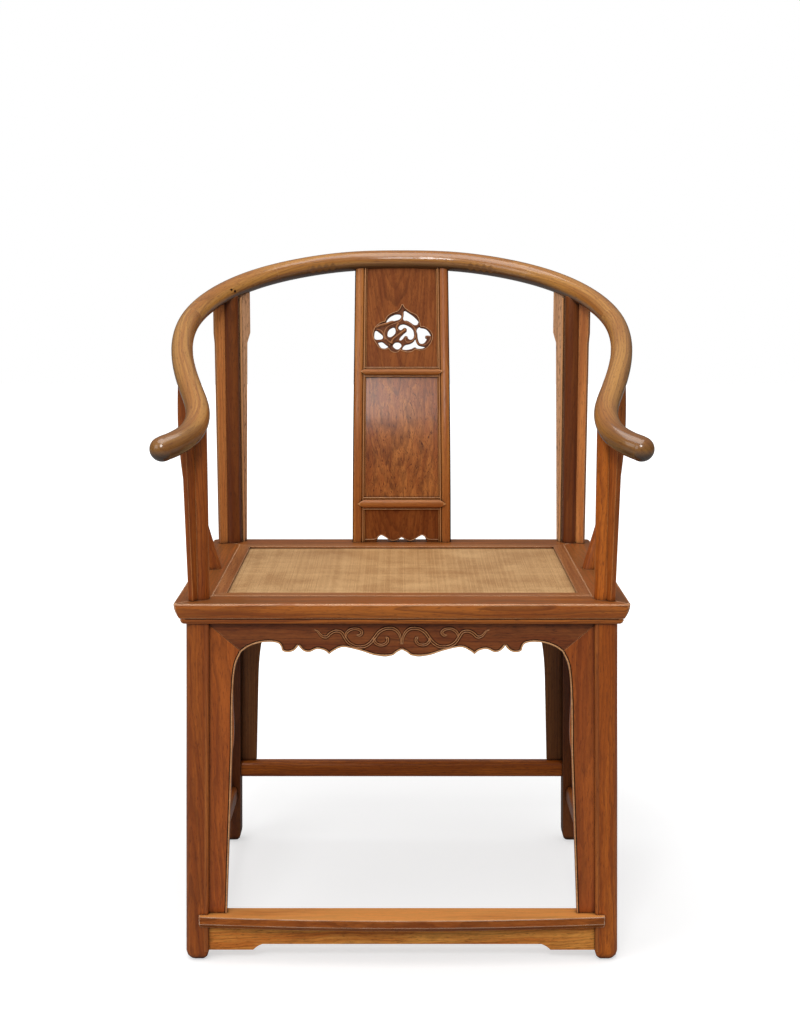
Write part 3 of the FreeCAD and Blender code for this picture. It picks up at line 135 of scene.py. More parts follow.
def splat_half(z):
    return SPLAT_HALF - SPLAT_TAPER * (z - SEAT_TOP) / SPLAT_RISE


def on_apron(points):
    """Turns (across, distance below the seat frame, distance in front of the board) into places."""
    sine, cosine = math.sin(APRON_TILT), math.cos(APRON_TILT)
    down, reach = points[:, 1], points[:, 2] + APRON_FACE
    return np.stack([points[:, 0], SEAT_Y - APRON_PLACE - down * sine - reach * cosine,
                     UNDER - down * cosine + reach * sine], 1)


def sideways(along):
    """Directions square to those of a flat line."""
    normal = np.column_stack([along[:, 1], -along[:, 0]])
    return normal / np.maximum(np.linalg.norm(normal, axis=1), 1e-9)[:, None]


def inset_line(line, inward, reach):
    """A line moved sideways by reach, towards the side that inward points to."""
    normal = sideways(np.gradient(line, axis=0))
    return line + normal * reach * (-1 if (normal @ np.array(inward)).sum() < 0 else 1)


def lengths_along(line):
    """How far along the line each of its points lies."""
    return np.concatenate([[0], np.cumsum(np.linalg.norm(np.diff(line, axis=0), axis=1))])


# Meshes.

@contextmanager
def edited(mesh):
    """Opens a mesh for a change and puts it back."""
    work = bmesh.new()
    work.from_mesh(mesh)
    yield work
    work.to_mesh(mesh)
    work.free()


def join_points(work, reach=1e-6):
    bmesh.ops.remove_doubles(work, verts=work.verts, dist=reach)


def turned_out(mesh):
    """Joins points that meet and turns every face outwards."""
    with edited(mesh) as work:
        join_points(work)
        bmesh.ops.recalc_face_normals(work, faces=work.faces)
    return mesh


def read(mesh, what="co"):
    """One row for each point of a mesh: its place, or its normal."""
    values = np.zeros(len(mesh.vertices) * 3, np.float32)
    mesh.vertices.foreach_get(what, values)
    return values.reshape(-1, 3).astype(float)


def shown(name, data):
    piece = bpy.data.objects.new(name, data)
    bpy.context.scene.collection.objects.link(piece)
    return piece


def mesh_of(name, points, faces):
    mesh = bpy.data.meshes.new(name)
    mesh.from_pydata([tuple(point) for point in points], [], faces)
    return turned_out(mesh)


def swept(name, rings):
    """Skin over closed rings of equal count, with both ends closed."""
    count = len(rings[0])
    faces = [tuple(range(count))[::-1], tuple(len(rings) * count - count + i for i in range(count))]
    for r in range(len(rings) - 1):
        for i in range(count):
            j = (i + 1) % count
            faces.append((r * count + i, r * count + j, (r + 1) * count + j, (r + 1) * count + i))
    return shown(name, mesh_of(name, np.concatenate(rings), faces))


def settled(piece):
    """Turns the piece with its modifiers into a plain mesh."""
    mesh = bpy.data.meshes.new_from_object(piece.evaluated_get(bpy.context.evaluated_depsgraph_get()))
    name, old = piece.name, piece.data
    mesh.name = name
    if piece.type != "MESH":
        bpy.data.objects.remove(piece)
        return shown(name, mesh)
    piece.modifiers.clear()
    piece.data = mesh
    bpy.data.meshes.remove(old)
    return piece


def finished(piece, width, corner=32, segments=2):
    """Eases the edges sharper than corner degrees by width millimetres and smooths the rest."""
    ease = piece.modifiers.new("eased edges", "BEVEL")
    ease.width = width * MM
    ease.segments = segments
    ease.limit_method = "ANGLE"
    ease.angle_limit = math.radians(corner)
    ease.use_clamp_overlap = True
    piece.modifiers.new("even shading", "WEIGHTED_NORMAL").keep_sharp = True
    return settled(piece)


def copied(node):
    """A merged copy of a solid, with its flat faces made whole."""
    mesh = frame["nodes"][node].data.copy()
    with edited(mesh) as work:
        join_points(work, 0.02 * MM)
        bmesh.ops.dissolve_limit(work, angle_limit=math.radians(0.5), verts=work.verts, edges=work.edges)
        for face in work.faces:
            face.smooth = True
    return shown(node + "_finished", mesh)


# Grain: each piece of wood carries its own place in the log.

def along_axis(axis):
    """Grain that runs straight along X, Y or Z."""
    order = {"x": (0, 1, 2), "y": (1, 0, 2), "z": (2, 0, 1)}[axis]
    return lambda points: (points[:, order], np.eye(3)[order[0]])


def along_crest(points):
    """Grain that follows the crest rail round."""
    steps = np.diff(CREST_LINE, axis=0)
    lengths = np.linalg.norm(steps, axis=1)
    runs = lengths_along(CREST_LINE)
    up = np.array([0, -(CREST_BACK.z - CREST_FRONT.z), CREST_BACK.y - CREST_FRONT.y])
    up = up / np.linalg.norm(up)
    result = np.zeros_like(points)
    block_size = 4000
    for at in range(0, len(points), block_size):
        block = points[at:at + block_size]
        from_start = block[:, None, :] - CREST_LINE[None, :-1, :]
        share = np.clip((from_start * steps).sum(2) / lengths ** 2, 0, 1)
        gap = from_start - share[:, :, None] * steps
        nearest = np.argmin((gap ** 2).sum(2), axis=1)
        pick = np.arange(len(block))
        gap = gap[pick, nearest]
        beside = np.cross(steps[nearest] / lengths[nearest, None], up)
        run = runs[nearest] + share[pick, nearest] * lengths[nearest]
        result[at:at + block_size] = np.stack([run, (gap * beside).sum(1), (gap * up).sum(1)], 1)
    return result, None


def along_splat(points):
    y, slope = splat_place(points[:, 2])
    return np.stack([points[:, 2], points[:, 0], points[:, 1] - y], 1), None


def lay_grain(piece, grain, pith, tilt, start):
    """Writes the grain's place on every point; pith is how far off the log's middle lies."""
    mesh = piece.data
    places, axis = grain(read(mesh))
    places = places - places.mean(0)
    places[:, 1] += pith[0] + tilt[0] * places[:, 0]
    places[:, 2] += pith[1] + tilt[1] * places[:, 0]
    places[:, 0] += start
    layer = mesh.attributes.new("grain", "FLOAT_VECTOR", "POINT")
    layer.data.foreach_set("vector", places.astype(np.float32).ravel())
    if axis is not None:
        layer = mesh.attributes.new("end grain", "FLOAT", "POINT")
        layer.data.foreach_set("value", np.abs(read(mesh, "normal") @ axis).astype(np.float32))


# Nodes of materials and shapes.

def feed(tree, sockets, values):
    """Sets each socket to its value, or links it where that is another node's output."""
    for key, value in values.items():
        if isinstance(value, bpy.types.NodeSocket):
            tree.links.new(value, sockets[key])
        else:
            sockets[key].default_value = value


def put(tree, kind, inputs=None, family="ShaderNode", **props):
    """Adds a node."""
    node = tree.nodes.new(family + kind)
    for name, value in props.items():
        setattr(node, name, value)
    feed(tree, node.inputs, inputs or {})
    return node


def calc(tree, operation, *values, clamp=False):
    return put(tree, "Math", dict(enumerate(values)), operation=operation, use_clamp=clamp).outputs[0]


def times(tree, one, other):
    return calc(tree, "MULTIPLY", one, other)


def swung(tree, value, reach, base, middle=0.5, clamp=False):
    """The base, moved up and down as the value leaves its middle."""
    return calc(tree, "MULTIPLY_ADD", calc(tree, "SUBTRACT", value, middle), reach, base, clamp=clamp)


def vector(tree, operation, *values, out=0, **named):
    return put(tree, "VectorMath", {**dict(enumerate(values)), **named}, operation=operation).outputs[out]


def scaled(tree, place, *factors):
    return vector(tree, "MULTIPLY", place, factors)


def parted(tree, place):
    return put(tree, "SeparateXYZ", {0: place}).outputs


def noise(tree, place, scale=1.0, detail=2.0, rough=0.5, out=0):
    return put(tree, "TexNoise", {"Vector": place, "Scale": scale, "Detail": detail, "Roughness": rough}).outputs[out]


def ranged(tree, value, low, high, new_low=0.0, new_high=1.0):
    return put(tree, "MapRange", {"Value": value, "From Min": low, "From Max": high, "To Min": new_low,
                                  "To Max": new_high}, interpolation_type="SMOOTHSTEP").outputs[0]


def mixed(tree, share, one, two, blend="MIX"):
    return put(tree, "Mix", {0: share, 6: one, 7: two}, data_type="RGBA", blend_type=blend).outputs[2]


def openness(tree, reach):
    """How far a place is from being hemmed in."""
    return put(tree, "AmbientOcclusion", {"Distance": reach}, samples=4).outputs["AO"]


def raised(tree, height, strength, depth):
    """A surface that follows the height; depth is in millimetres."""
    return put(tree, "Bump", {"Strength": strength, "Distance": depth * MM, "Height": height}).outputs[0]


def chance(tree, count):
    """A number of its own for each whole number."""
    return put(tree, "TexWhiteNoise", {"W": count}, noise_dimensions="1D").outputs[0]


def paint(colour, share=1.0):
    """A colour given as it looks on paper, 0 to 255, and how much of it is used."""
    parts = [part * share for part in colour]
    linear = [((c / 255 + 0.055) / 1.055) ** 2.4 if c > 10 else c / 255 / 12.92 for c in parts]
    return (*linear, 1.0)


def node_group(family, name, inputs, outputs):
    """A group with no steps yet; each input is given as its kind or as the number it starts at."""
    tree = bpy.data.node_groups.new(name, family + "NodeTree")
    for label, start in inputs.items():
        kind = start if isinstance(start, str) else "Float"
        socket = tree.interface.new_socket(label, in_out="INPUT", socket_type="NodeSocket" + kind)
        if kind is not start:
            socket.default_value = start
    for label, kind in outputs.items():
        tree.interface.new_socket(label, in_out="OUTPUT", socket_type="NodeSocket" + kind)
    return tree, tree.nodes.new("NodeGroupInput").outputs, tree.nodes.new("NodeGroupOutput").inputs


def wood_grain():
    """Growth rings, fibres, pores and slow changes of tone in one log."""
    tree, given, result = node_group(
        "Shader", "wood grain",
        {"Place": "Vector", "Pale": "Color", "Warm": "Color", "Deep": "Color", "Ring Width": 0.004,
         "Figure": 0.5, "Pores": 0.5, "Swirl": 0.0, "End Grain": 0.0},
        {"Color": "Color", "Height": "Float", "Roughness": "Float"})

    def streaks(place, along, across, **rest):
        return noise(tree, scaled(tree, place, along, across, across), **rest)

    drift = streaks(given["Place"], 16, 48, detail=3, out="Color")
    drift = vector(tree, "SUBTRACT", drift, (0.5, 0.5, 0.5))
    drift = vector(tree, "SCALE", drift, Scale=times(tree, given["Swirl"], 0.02))
    place = vector(tree, "ADD", given["Place"], drift)
    slow = streaks(place, 3.5, 24)
    ripple = streaks(place, 10, 150, detail=3, rough=0.6)
    across = vector(tree, "LENGTH", scaled(tree, place, 0, 1, 1), out="Value")
    bent = swung(tree, ripple, 0.0022, swung(tree, slow, 0.022, across))
    count = calc(tree, "DIVIDE", bent, given["Ring Width"])
    phase = calc(tree, "FRACT", count)
    strength = chance(tree, calc(tree, "FLOOR", count))
    late = times(tree, ranged(tree, phase, 0.25, 0.9), ranged(tree, phase, 1.0, 0.9))
    ring = times(tree, late, ranged(tree, strength, 0.0, 1.0, 0.35, 1.0))
    streak = streaks(place, 2.6, 85, detail=3, rough=0.62)
    fibre = streaks(place, 16, 800, detail=3, rough=0.65)
    pore = ranged(tree, streaks(place, 95, 850, rough=0.6), 0.56, 0.68)
    mottle = ranged(tree, streaks(place, 26, 70, detail=4, rough=0.7), 0.46, 0.68)
    ends = ranged(tree, given["End Grain"], 0.75, 0.97, 0.0, 0.6)
    tone = swung(tree, fibre, 0.8, swung(tree, streak, 1.7, streaks(place, 3.2, 11)), clamp=True)
    color = mixed(tree, ranged(tree, tone, 0.2, 0.8), given["Warm"], given["Pale"])
    for share in (times(tree, ring, given["Figure"]), times(tree, pore, given["Pores"]),
                  times(tree, mottle, times(tree, given["Swirl"], 0.55)), ends):
        color = mixed(tree, share, color, given["Deep"])
    height = calc(tree, "MULTIPLY_ADD", pore, -0.8, times(tree, fibre, 0.5))
    rough = calc(tree, "MULTIPLY_ADD", pore, 0.12, swung(tree, streak, 0.18, 0.36))
    feed(tree, result, {"Color": color, "Height": calc(tree, "MULTIPLY_ADD", ring, -0.25, height),
                        "Roughness": calc(tree, "MULTIPLY_ADD", ends, 0.25, rough)})
    return tree


def wear_and_shade():
    """Rubbed pale edges; dark settled wax and dust with painted shade in recesses; painted shade on faces that look
    down.
    """
    tree, given, result = node_group("Shader", "wear and painted shade", {"Place": "Vector", "Radius": 0.0018},
                                     dict.fromkeys(("Wear", "Grime And Shade", "Top", "Underside Shade"), "Float"))
    facing = put(tree, "NewGeometry").outputs["Normal"]
    rounded = put(tree, "Bevel", {"Radius": given["Radius"]}, samples=4).outputs[0]
    edge = ranged(tree, vector(tree, "DOT_PRODUCT", rounded, facing, out="Value"), 0.995, 0.9)
    patchy = ranged(tree, noise(tree, scaled(tree, given["Place"], 30, 140, 140)), 0.25, 0.6, 0.3, 1.0)
    uneven = ranged(tree, noise(tree, scaled(tree, given["Place"], 7, 60, 60), detail=3), 0.2, 0.6, 0.45, 1.0)
    # Ambient occlusion paints shade into recesses and creases, over the wax and dust settled there.
    open_air, crease = openness(tree, 0.014), openness(tree, 0.004)
    upward = parted(tree, facing)["Z"]
    feed(tree, result, {
        "Wear": times(tree, times(tree, edge, patchy), ranged(tree, open_air, 0.55, 0.8)),
        "Grime And Shade": calc(tree, "MAXIMUM", ranged(tree, open_air, 0.72, 0.2), ranged(tree, crease, 0.88, 0.42)),
        "Top": times(tree, ranged(tree, upward, 0.55, 0.95), uneven),
        # Faces that look down are darkened: painted shade.
        "Underside Shade": ranged(tree, upward, 0.1, -0.65)})
    return tree


WOOD_GRAIN = wood_grain()
WEAR_AND_SHADE = wear_and_shade()


def blank_material(name):
    made = bpy.data.materials.new(name)
    made.use_nodes = True
    return made, made.node_tree, made.node_tree.nodes["Principled BSDF"]


def waxed_wood(name, pale, warm, deep, worn, ring=4.2, figure=0.5, pores=0.5, wear=0.6, grime_and_shade=0.8, gloss=0.1,
               swirl=0.0, top=None, rim=0.0, under=0.0, shine=0.3, polish=0.22, arris=1.8, darker_span=None):
    """Waxed hardwood; its colours are the wood in full light, and top is the colour of rubbed upper faces.

    Rim and under say how much painted shade darkens the wood where a rounded face turns away or looks down,
    and arris is how wide the rubbed edges are. The darker span says from which place to which, front to back,
    the wood turns darker.
    """
    made, tree, shader = blank_material(name)
    place = put(tree, "Attribute", attribute_name="grain").outputs["Vector"]
    ends = put(tree, "Attribute", attribute_name="end grain").outputs["Fac"]
    grain = put(tree, "Group", node_tree=WOOD_GRAIN)
    feed(tree, grain.inputs, {
        "Place": place, "End Grain": ends, "Pale": paint(pale), "Warm": paint(warm), "Deep": paint(deep),
        "Ring Width": ring * MM, "Figure": figure, "Pores": pores, "Swirl": swirl})
    edges = put(tree, "Group", node_tree=WEAR_AND_SHADE)
    feed(tree, edges.inputs, {"Place": place, "Radius": arris * MM})
    edges = edges.outputs
    color = grain.outputs["Color"]
    # Darker towards the front, between the two places given, front to back.
    if darker_span:
        ahead = parted(tree, put(tree, "TexCoord").outputs["Object"])["Y"]
        darkening_ahead = times(tree, ranged(tree, ahead, *[place * MM for place in darker_span]), 0.5)
        color = mixed(tree, darkening_ahead, color, paint(deep, 0.8))
    if top:
        rubbed = mixed(tree, 1.0, color, paint(top), "OVERLAY")
        color = mixed(tree, edges["Top"], color, mixed(tree, 0.6, rubbed, paint(top)))
    color = mixed(tree, times(tree, edges["Wear"], wear), color, paint(worn))
    # Settled wax and dust darken the colour, together with painted shade in recesses.
    dark = times(tree, edges["Grime And Shade"], grime_and_shade)
    # Faces that look down are darkened: painted shade.
    if under:
        dark = calc(tree, "MAXIMUM", dark, times(tree, edges["Underside Shade"], under))
    # Rounded faces that turn away from the view are darkened: painted shade at their edges.
    if rim:
        turned = put(tree, "LayerWeight", {"Blend": 0.5}).outputs["Facing"]
        dark = calc(tree, "MAXIMUM", dark, times(tree, ranged(tree, turned, 0.45, 0.95), rim))
    feed(tree, shader.inputs, {
        "Base Color": mixed(tree, dark, color, paint(deep, 0.3)),
        "Roughness": calc(tree, "MULTIPLY_ADD", dark, 0.3, grain.outputs["Roughness"]),
        "Normal": raised(tree, grain.outputs["Height"], 0.35, 0.12), "Specular IOR Level": shine,
        "Coat Weight": gloss, "Coat Roughness": polish, "Coat IOR": 1.65})
    return made


# Each wood: its pale, warm, deep and rubbed colours, then what sets it apart from the usual finish.
WOODS = {name: waxed_wood(name + " wood", *colours, **finish) for name, colours, finish in (
    ("rail", ((202, 142, 66), (172, 108, 42), (104, 58, 20), (232, 188, 132)),
     dict(figure=0.35, wear=0.3, gloss=1.0, under=0.85, polish=0.17, darker_span=(-235, -290))),
    ("leg", ((180, 96, 33), (152, 74, 23), (88, 38, 10), (226, 164, 104)),
     dict(figure=0.4, swirl=0.35)),
    ("paler", ((206, 112, 33), (175, 87, 23), (102, 45, 10), (232, 172, 110)),
     dict(figure=0.4, swirl=0.35)),
    # Painted shade in part: the rear legs are coloured darker for the shade they stand in under and behind the seat.
    ("rear leg", ((134, 74, 30), (112, 55, 20), (62, 28, 8), (190, 130, 84)),
     dict(figure=0.3, rim=0.5)),
    ("seat frame", ((208, 120, 44), (178, 92, 30), (98, 46, 14), (250, 206, 164)),
     dict(figure=0.5, wear=1.0, top=(140, 97, 50), arris=2.6)),
    ("frame", ((183, 104, 43), (156, 80, 31), (90, 42, 15), (220, 156, 100)),
     dict(figure=0.4)),
    ("footrail", ((186, 104, 42), (154, 77, 28), (84, 38, 13), (255, 222, 190)),
     dict(figure=0.5, wear=1.0, top=(242, 182, 100), arris=2.6, swirl=0.5, shine=0.12)),
    # Partly its own paler wood, partly painted light: brighter for the light the floor throws up onto it.
    ("foot apron with painted bounce", ((255, 178, 84), (226, 132, 54), (128, 62, 20), (250, 196, 130)),
     dict(figure=0.4, swirl=0.5, shine=0.15)),
    ("apron", ((152, 84, 38), (130, 64, 27), (70, 31, 12), (216, 156, 106)),
     dict(figure=0.45, swirl=0.6)),
    ("spandrel", ((188, 98, 34), (160, 77, 26), (86, 36, 12), (216, 152, 96)),
     dict(figure=0.4, swirl=0.35)),
    # Painted shade in part: a duller colour, matched to the inner aprons and spandrels as they look in the shade
    # under the seat.
    ("dusty inner", ((162, 104, 56), (136, 82, 40), (76, 44, 22), (180, 128, 84)),
     dict(figure=0.4, wear=0.4, gloss=0.0)),
    ("outer flange", ((222, 144, 76), (194, 116, 60), (122, 68, 34), (240, 190, 136)),
     dict(figure=0.25, rim=0.7)),
    # Painted reflection: a pale greyish colour without gloss stands for the sheen of the white surroundings on this
    # face.
    ("inner flange with painted sheen", ((222, 172, 130), (188, 138, 100), (106, 70, 48), (236, 204, 170)),
     dict(figure=0.3, pores=1.0, gloss=0.0, rim=0.8)),
    ("stile", ((188, 118, 54), (162, 92, 40), (98, 50, 20), (224, 170, 112)),
     dict(ring=5.0, figure=0.3, wear=0.5, rim=0.85, shine=0.2)),
    ("panel", ((150, 85, 40), (126, 66, 30), (76, 35, 15), (206, 146, 94)),
     dict(ring=5.0, figure=0.4, wear=0.35, swirl=0.3, gloss=0.0, shine=0.05)),
    ("figured panel", ((186, 114, 54), (154, 84, 38), (86, 42, 18), (206, 146, 94)),
     dict(ring=6.5, figure=0.45, pores=1.0, wear=0.3, gloss=0.3, swirl=1.0, shine=0.2)),
    ("strip", ((175, 112, 63), (148, 88, 48), (94, 52, 27), (228, 184, 140)),
     dict(figure=0.3, wear=0.8)),
    ("bare bearer", ((158, 122, 84), (132, 98, 64), (84, 60, 40), (176, 144, 108)),
     dict(figure=0.4, wear=0.3, gloss=0.0)),
    ("peg", ((186, 128, 62), (162, 100, 44), (104, 60, 26), (220, 170, 116)),
     dict(figure=0.2)),
    # Painted shade: dark lines laid in grooves, under steps and beside ridges, where there is some old wax too; it
    # also colours the crest's two dark plugs.
    ("plugs, groove wax and painted shade", ((60, 34, 18), (48, 26, 14), (30, 16, 8), (80, 48, 28)),
     dict(figure=0.1, wear=0.0, gloss=0.0, shine=0.1)),
    # Painted highlight: the beads are coloured paler than the wood around them, for the light they catch.
    ("bead", ((206, 148, 98), (176, 116, 70), (104, 60, 36), (222, 172, 124)),
     dict(figure=0.25, pores=0.3, wear=0.2, grime_and_shade=0.8)),
    ("scroll", ((176, 112, 62), (150, 88, 44), (90, 46, 22), (214, 160, 110)),
     dict(figure=0.2, wear=0.4, rim=0.9)),
    # Painted shade: the cloud's sunken ground is coloured dark for the shade in its recess between the scrolls.
    ("cloud", ((112, 62, 32), (92, 48, 24), (44, 22, 12), (140, 90, 58)),
     dict(figure=0.2, grime_and_shade=1.0, gloss=0.0, shine=0.1)),
    # Painted highlight: the cusped bead and the post beads are coloured paler, for the light they catch.
    ("cusp", ((232, 172, 116), (204, 140, 88), (120, 70, 40), (246, 204, 160)),
     dict(figure=0.2, pores=0.3, wear=0.3, grime_and_shade=0.5, rim=0.6)),
    # Painted highlight in part: the tendrils' ridges are paler than the apron's ground.
    ("tendril", ((200, 126, 72), (168, 96, 50), (84, 40, 18), (236, 186, 136)),
     dict(figure=0.2, pores=0.3, wear=0.4, grime_and_shade=0.9, rim=0.5)),
)}
WOOD_OF_SLOT = {"rail_wood": "rail", "frame_wood": "frame", "splat_wood": "panel", "apron_wood": "dusty inner",
                "strip_wood": "strip", "hidden_wood": "bare bearer", "peg_wood": "peg"}
WOOD_OF_NODE = {"rear_stretcher": "paler", "front_leg_right": "paler", "front_leg": "leg",
                "front_flange": "leg", "rear_leg": "rear leg", "seat_front": "seat frame",
                "seat_rear": "seat frame", "seat_side": "seat frame", "footrail_apron": "foot apron with painted bounce",
                "footrail": "footrail", "front_apron": "apron", "front_spandrel": "spandrel",
                "rear_outer": "outer flange", "rear_inner": "inner flange with painted sheen", "splat_stile": "stile",
                "splat_upper": "stile", "splat_lower": "stile", "splat_middle": "figured panel"}


def grain_of(node):
    """Which way the wood of a piece runs."""
    if node.startswith("crest"):
        return along_crest
    if node.startswith("splat") and "rail" not in node:
        return along_splat
    if any(word in node for word in ("leg", "spandrel", "flange", "brace")):
        return along_axis("z")
    along = ("seat_side_rail", "side_stretcher", "mat_strip_left", "mat_strip_right", "side_apron", "seat_batten")
    return along_axis("y" if node.startswith(along) else "x")


seeds = np.random.default_rng(7)


def log_place(node):
    """Where in its log a piece was cut."""
    angle, reach, start = seeds.uniform(0, 2 * math.pi), seeds.uniform(30, 75) * MM, seeds.uniform(0, 9)
    tilt = seeds.uniform(-0.03, 0.03, 2)
    if "panel" in node:
        return (0.008, 0.042), (0.03, -0.14), start
    return (reach * math.cos(angle), reach * math.sin(angle)), tilt, start


def dress(piece, slot, grain, cut, wood=None):
    """Gives a wooden piece its grain, finish and body; its slot picks the wood where its name does not."""
    lay_grain(piece, grain, *cut)
    own = [name for start, name in WOOD_OF_NODE.items() if piece.name.startswith(start)]
    piece.data.materials.clear()
    piece.data.materials.append(WOODS[wood or (own + [WOOD_OF_SLOT[slot]])[0]])
    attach(piece, "root")
    return piece


def made(piece, node, grain=None):
    """A piece built here that stands for a solid."""
    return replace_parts(dress(piece, SLOT_OF[node], grain or grain_of(node), log_place(node)), node)


def added(piece, slot, grain, wood):
    """A carved detail that lies on the pieces."""
    return dress(piece, slot, grain, ((0.03, 0.03), (0, 0), 0.5), wood)


BUILT_HERE = ("splat_stile_left", "splat_stile_right", "splat_upper_rail", "splat_lower_rail",
              "splat_top_panel", "splat_bottom_panel", "seat_mat", "seat_webbing")
for node in sorted(frame["nodes"]):
    cut = log_place(node)
    if node not in BUILT_HERE:
        piece = finished(copied(node), 0.35 if node.startswith("crest") else 0.7)
        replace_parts(dress(piece, SLOT_OF[node], grain_of(node), cut), node)


# Beads, scrolls and cords: a round line as thick as its own radius says.

def step(tree, kind, inputs=None):
    """Adds a geometry node."""
    return put(tree, kind, inputs, "GeometryNode").outputs[0]


def closed_off(tree, geometry, given, result):
    """The last steps of every tree: real faces, smooth, with their material."""
    real = step(tree, "RealizeInstances", {"Geometry": geometry})
    smooth = step(tree, "SetShadeSmooth", {"Geometry": real})
    feed(tree, result, {0: step(tree, "SetMaterial", {"Geometry": smooth, "Material": given["Finish"]})})
    return tree


def bead_tree():
    tree, given, result = node_group(
        "Geometry", "bead along a line", {"Geometry": "Geometry", "Sides": "Int", "Finish": "Material"},
        {"Geometry": "Geometry"})
    ring = step(tree, "CurvePrimitiveCircle", {"Resolution": given["Sides"], "Radius": 1.0})
    skin = step(tree, "CurveToMesh", {"Curve": given["Geometry"], "Profile Curve": ring,
                                      "Scale": step(tree, "InputRadius"), "Fill Caps": True})
    return closed_off(tree, skin, given, result)


BEAD_TREE = bead_tree()


def grown(piece, tree, **values):
    """Runs a tree on a piece and keeps what it makes as a plain mesh."""
    modifier = piece.modifiers.new(tree.name, "NODES")
    modifier.node_group = tree
    for item in tree.interface.items_tree:
        if item.in_out == "INPUT" and item.name in values:
            modifier[item.identifier] = values[item.name]
    return settled(piece)


def placed(piece, surface, depth=1.0):
    """Lays a flat piece on a surface; depth stretches it outwards first."""
    points = surface(read(piece.data) * (1, 1, depth))
    piece.data.vertices.foreach_set("co", points.astype(np.float32).ravel())
    turned_out(piece.data)
    return piece


def polyline(data, points, closed):
    """Adds a line of straight steps to a curve."""
    spline = data.splines.new("POLY")
    spline.points.add(len(points) - 1)
    for end, point in zip(spline.points, points):
        end.co = (*point, 1)
    spline.use_cyclic_u = closed
    return spline


def stroke(points, radius, out=0.0, closed=False):
    """A line through (across, along) places, all at one distance out from their surface."""
    return np.column_stack([points, np.full(len(points), out)]), radius, closed


def beads(name, strokes, wood, surface, slot, grain, depth=1.0, sides=10):
    """Rounded lines on a surface, each given as (points, radii, closed)."""
    data = bpy.data.curves.new(name, "CURVE")
    data.dimensions = "3D"
    for points, radii, closed in strokes:
        spline = polyline(data, points, closed)
        for end, radius in zip(spline.points, np.broadcast_to(radii, len(points))):
            end.radius = radius
    piece = grown(shown(name, data), BEAD_TREE, Sides=sides, Finish=WOODS[wood])
    return added(placed(piece, surface, depth), slot, grain, wood)


def swelling(count, start, middle, end, head=0.12):
    """Radii of a stroke that is thin or thick at its ends."""
    return np.interp(np.linspace(0, 1, count), [0, head, 1 - head, 1], [start, middle, middle, end])


# Splat: moulded stiles, ridged cross rails and the openwork cloud.

STILE = ((0, 4.5), (0.5, 6.3), (1.8, 7.4), (4, 8.1), (7, 8.4), (10, 8.2), (12.6, 7.6), (13.9, 6.6), (14.4, 5.5),
         (14.9, 6.5), (15.8, 7.3), (16.8, 7.3), (17.6, 6.5), (18.1, 5.3), (18.6, 6.0), (19.4, 5.8), (19.7, 4.6),
         (19.7, -4.6), (18.8, -6.6), (17.2, -7.5), (2, -7.5), (0.5, -6.4), (0, -4.5))


def splat_stile(side):
    """A stile with a rounded face and a fine bead along its inner edge."""
    profile = np.array(STILE) * MM
    rings = []
    for z in np.linspace(SEAT_TOP, SPLAT_TOP, 56):
        x = side * (splat_half(z) - profile[:, 0])
        rings.append(on_splat(np.column_stack([x, np.full(len(x), z), profile[:, 1]])))
    return rings


def cross_rail(low, high, body_low, body_high):
    """A cross rail: fillets above and below a ridge whose pointed ends lap over the stiles."""
    middle, half = (body_low + body_high) / 2, (body_high - body_low) / 2
    ridge = [(middle - half * math.cos(a), 7.2 + 4.8 * math.sin(a), True)
             for a in np.linspace(0.12, math.pi - 0.12, 9)]
    face = [(low, 4.5, False), (low, 6.4, False), (low + 0.6, 7.2, False), (body_low - 0.7, 7.0, False),
            (body_low, 5.9, False), *ridge, (body_high, 5.9, False), (body_high + 0.7, 7.0, False),
            (high - 0.6, 7.2, False), (high, 6.4, False), (high, 4.5, False), (high, -6.5, False),
            (high - 1, -7.5, False), (low + 1, -7.5, False), (low, -6.5, False)]
    rings = []
    for side in (-1, 1):
        ring = []
        for z, out, pointed in face:
            lap = (half - abs(z - middle)) * 1.7 * MM if pointed else 0
            ring.append((side * (splat_half(z * MM) - 18 * MM + lap), z * MM, out * MM))
        rings.append(on_splat(ring))
    return rings


CLOUD = (
    ((1, 37.5), (5, 31.5), (14, 25), (23, 20.5), (27, 15), (30, 2.5)),
    ((30, 2.5), (39, 0.5), (46.5, -5.5), (49.5, -12.5), (47.5, -20.5), (43.5, -27), (37.5, -32), (29, -33.5),
     (21.5, -32)),
    ((21.5, -32), (16.5, -35.5), (9.5, -36.5), (2, -35), (-2.5, -32.5)),
    ((-2.5, -32.5), (-8, -37), (-15.5, -36), (-20.5, -31)),
    ((-20.5, -31), (-27.5, -32.5), (-34.5, -30.5), (-40, -24), (-45, -15.5), (-45.5, -6.5), (-41.5, 2),
     (-34, 8), (-26.5, 10.5)),
    ((-26.5, 10.5), (-23, 18), (-15.5, 23), (-6.5, 26.5), (-2, 31), (1, 37.5)),
)
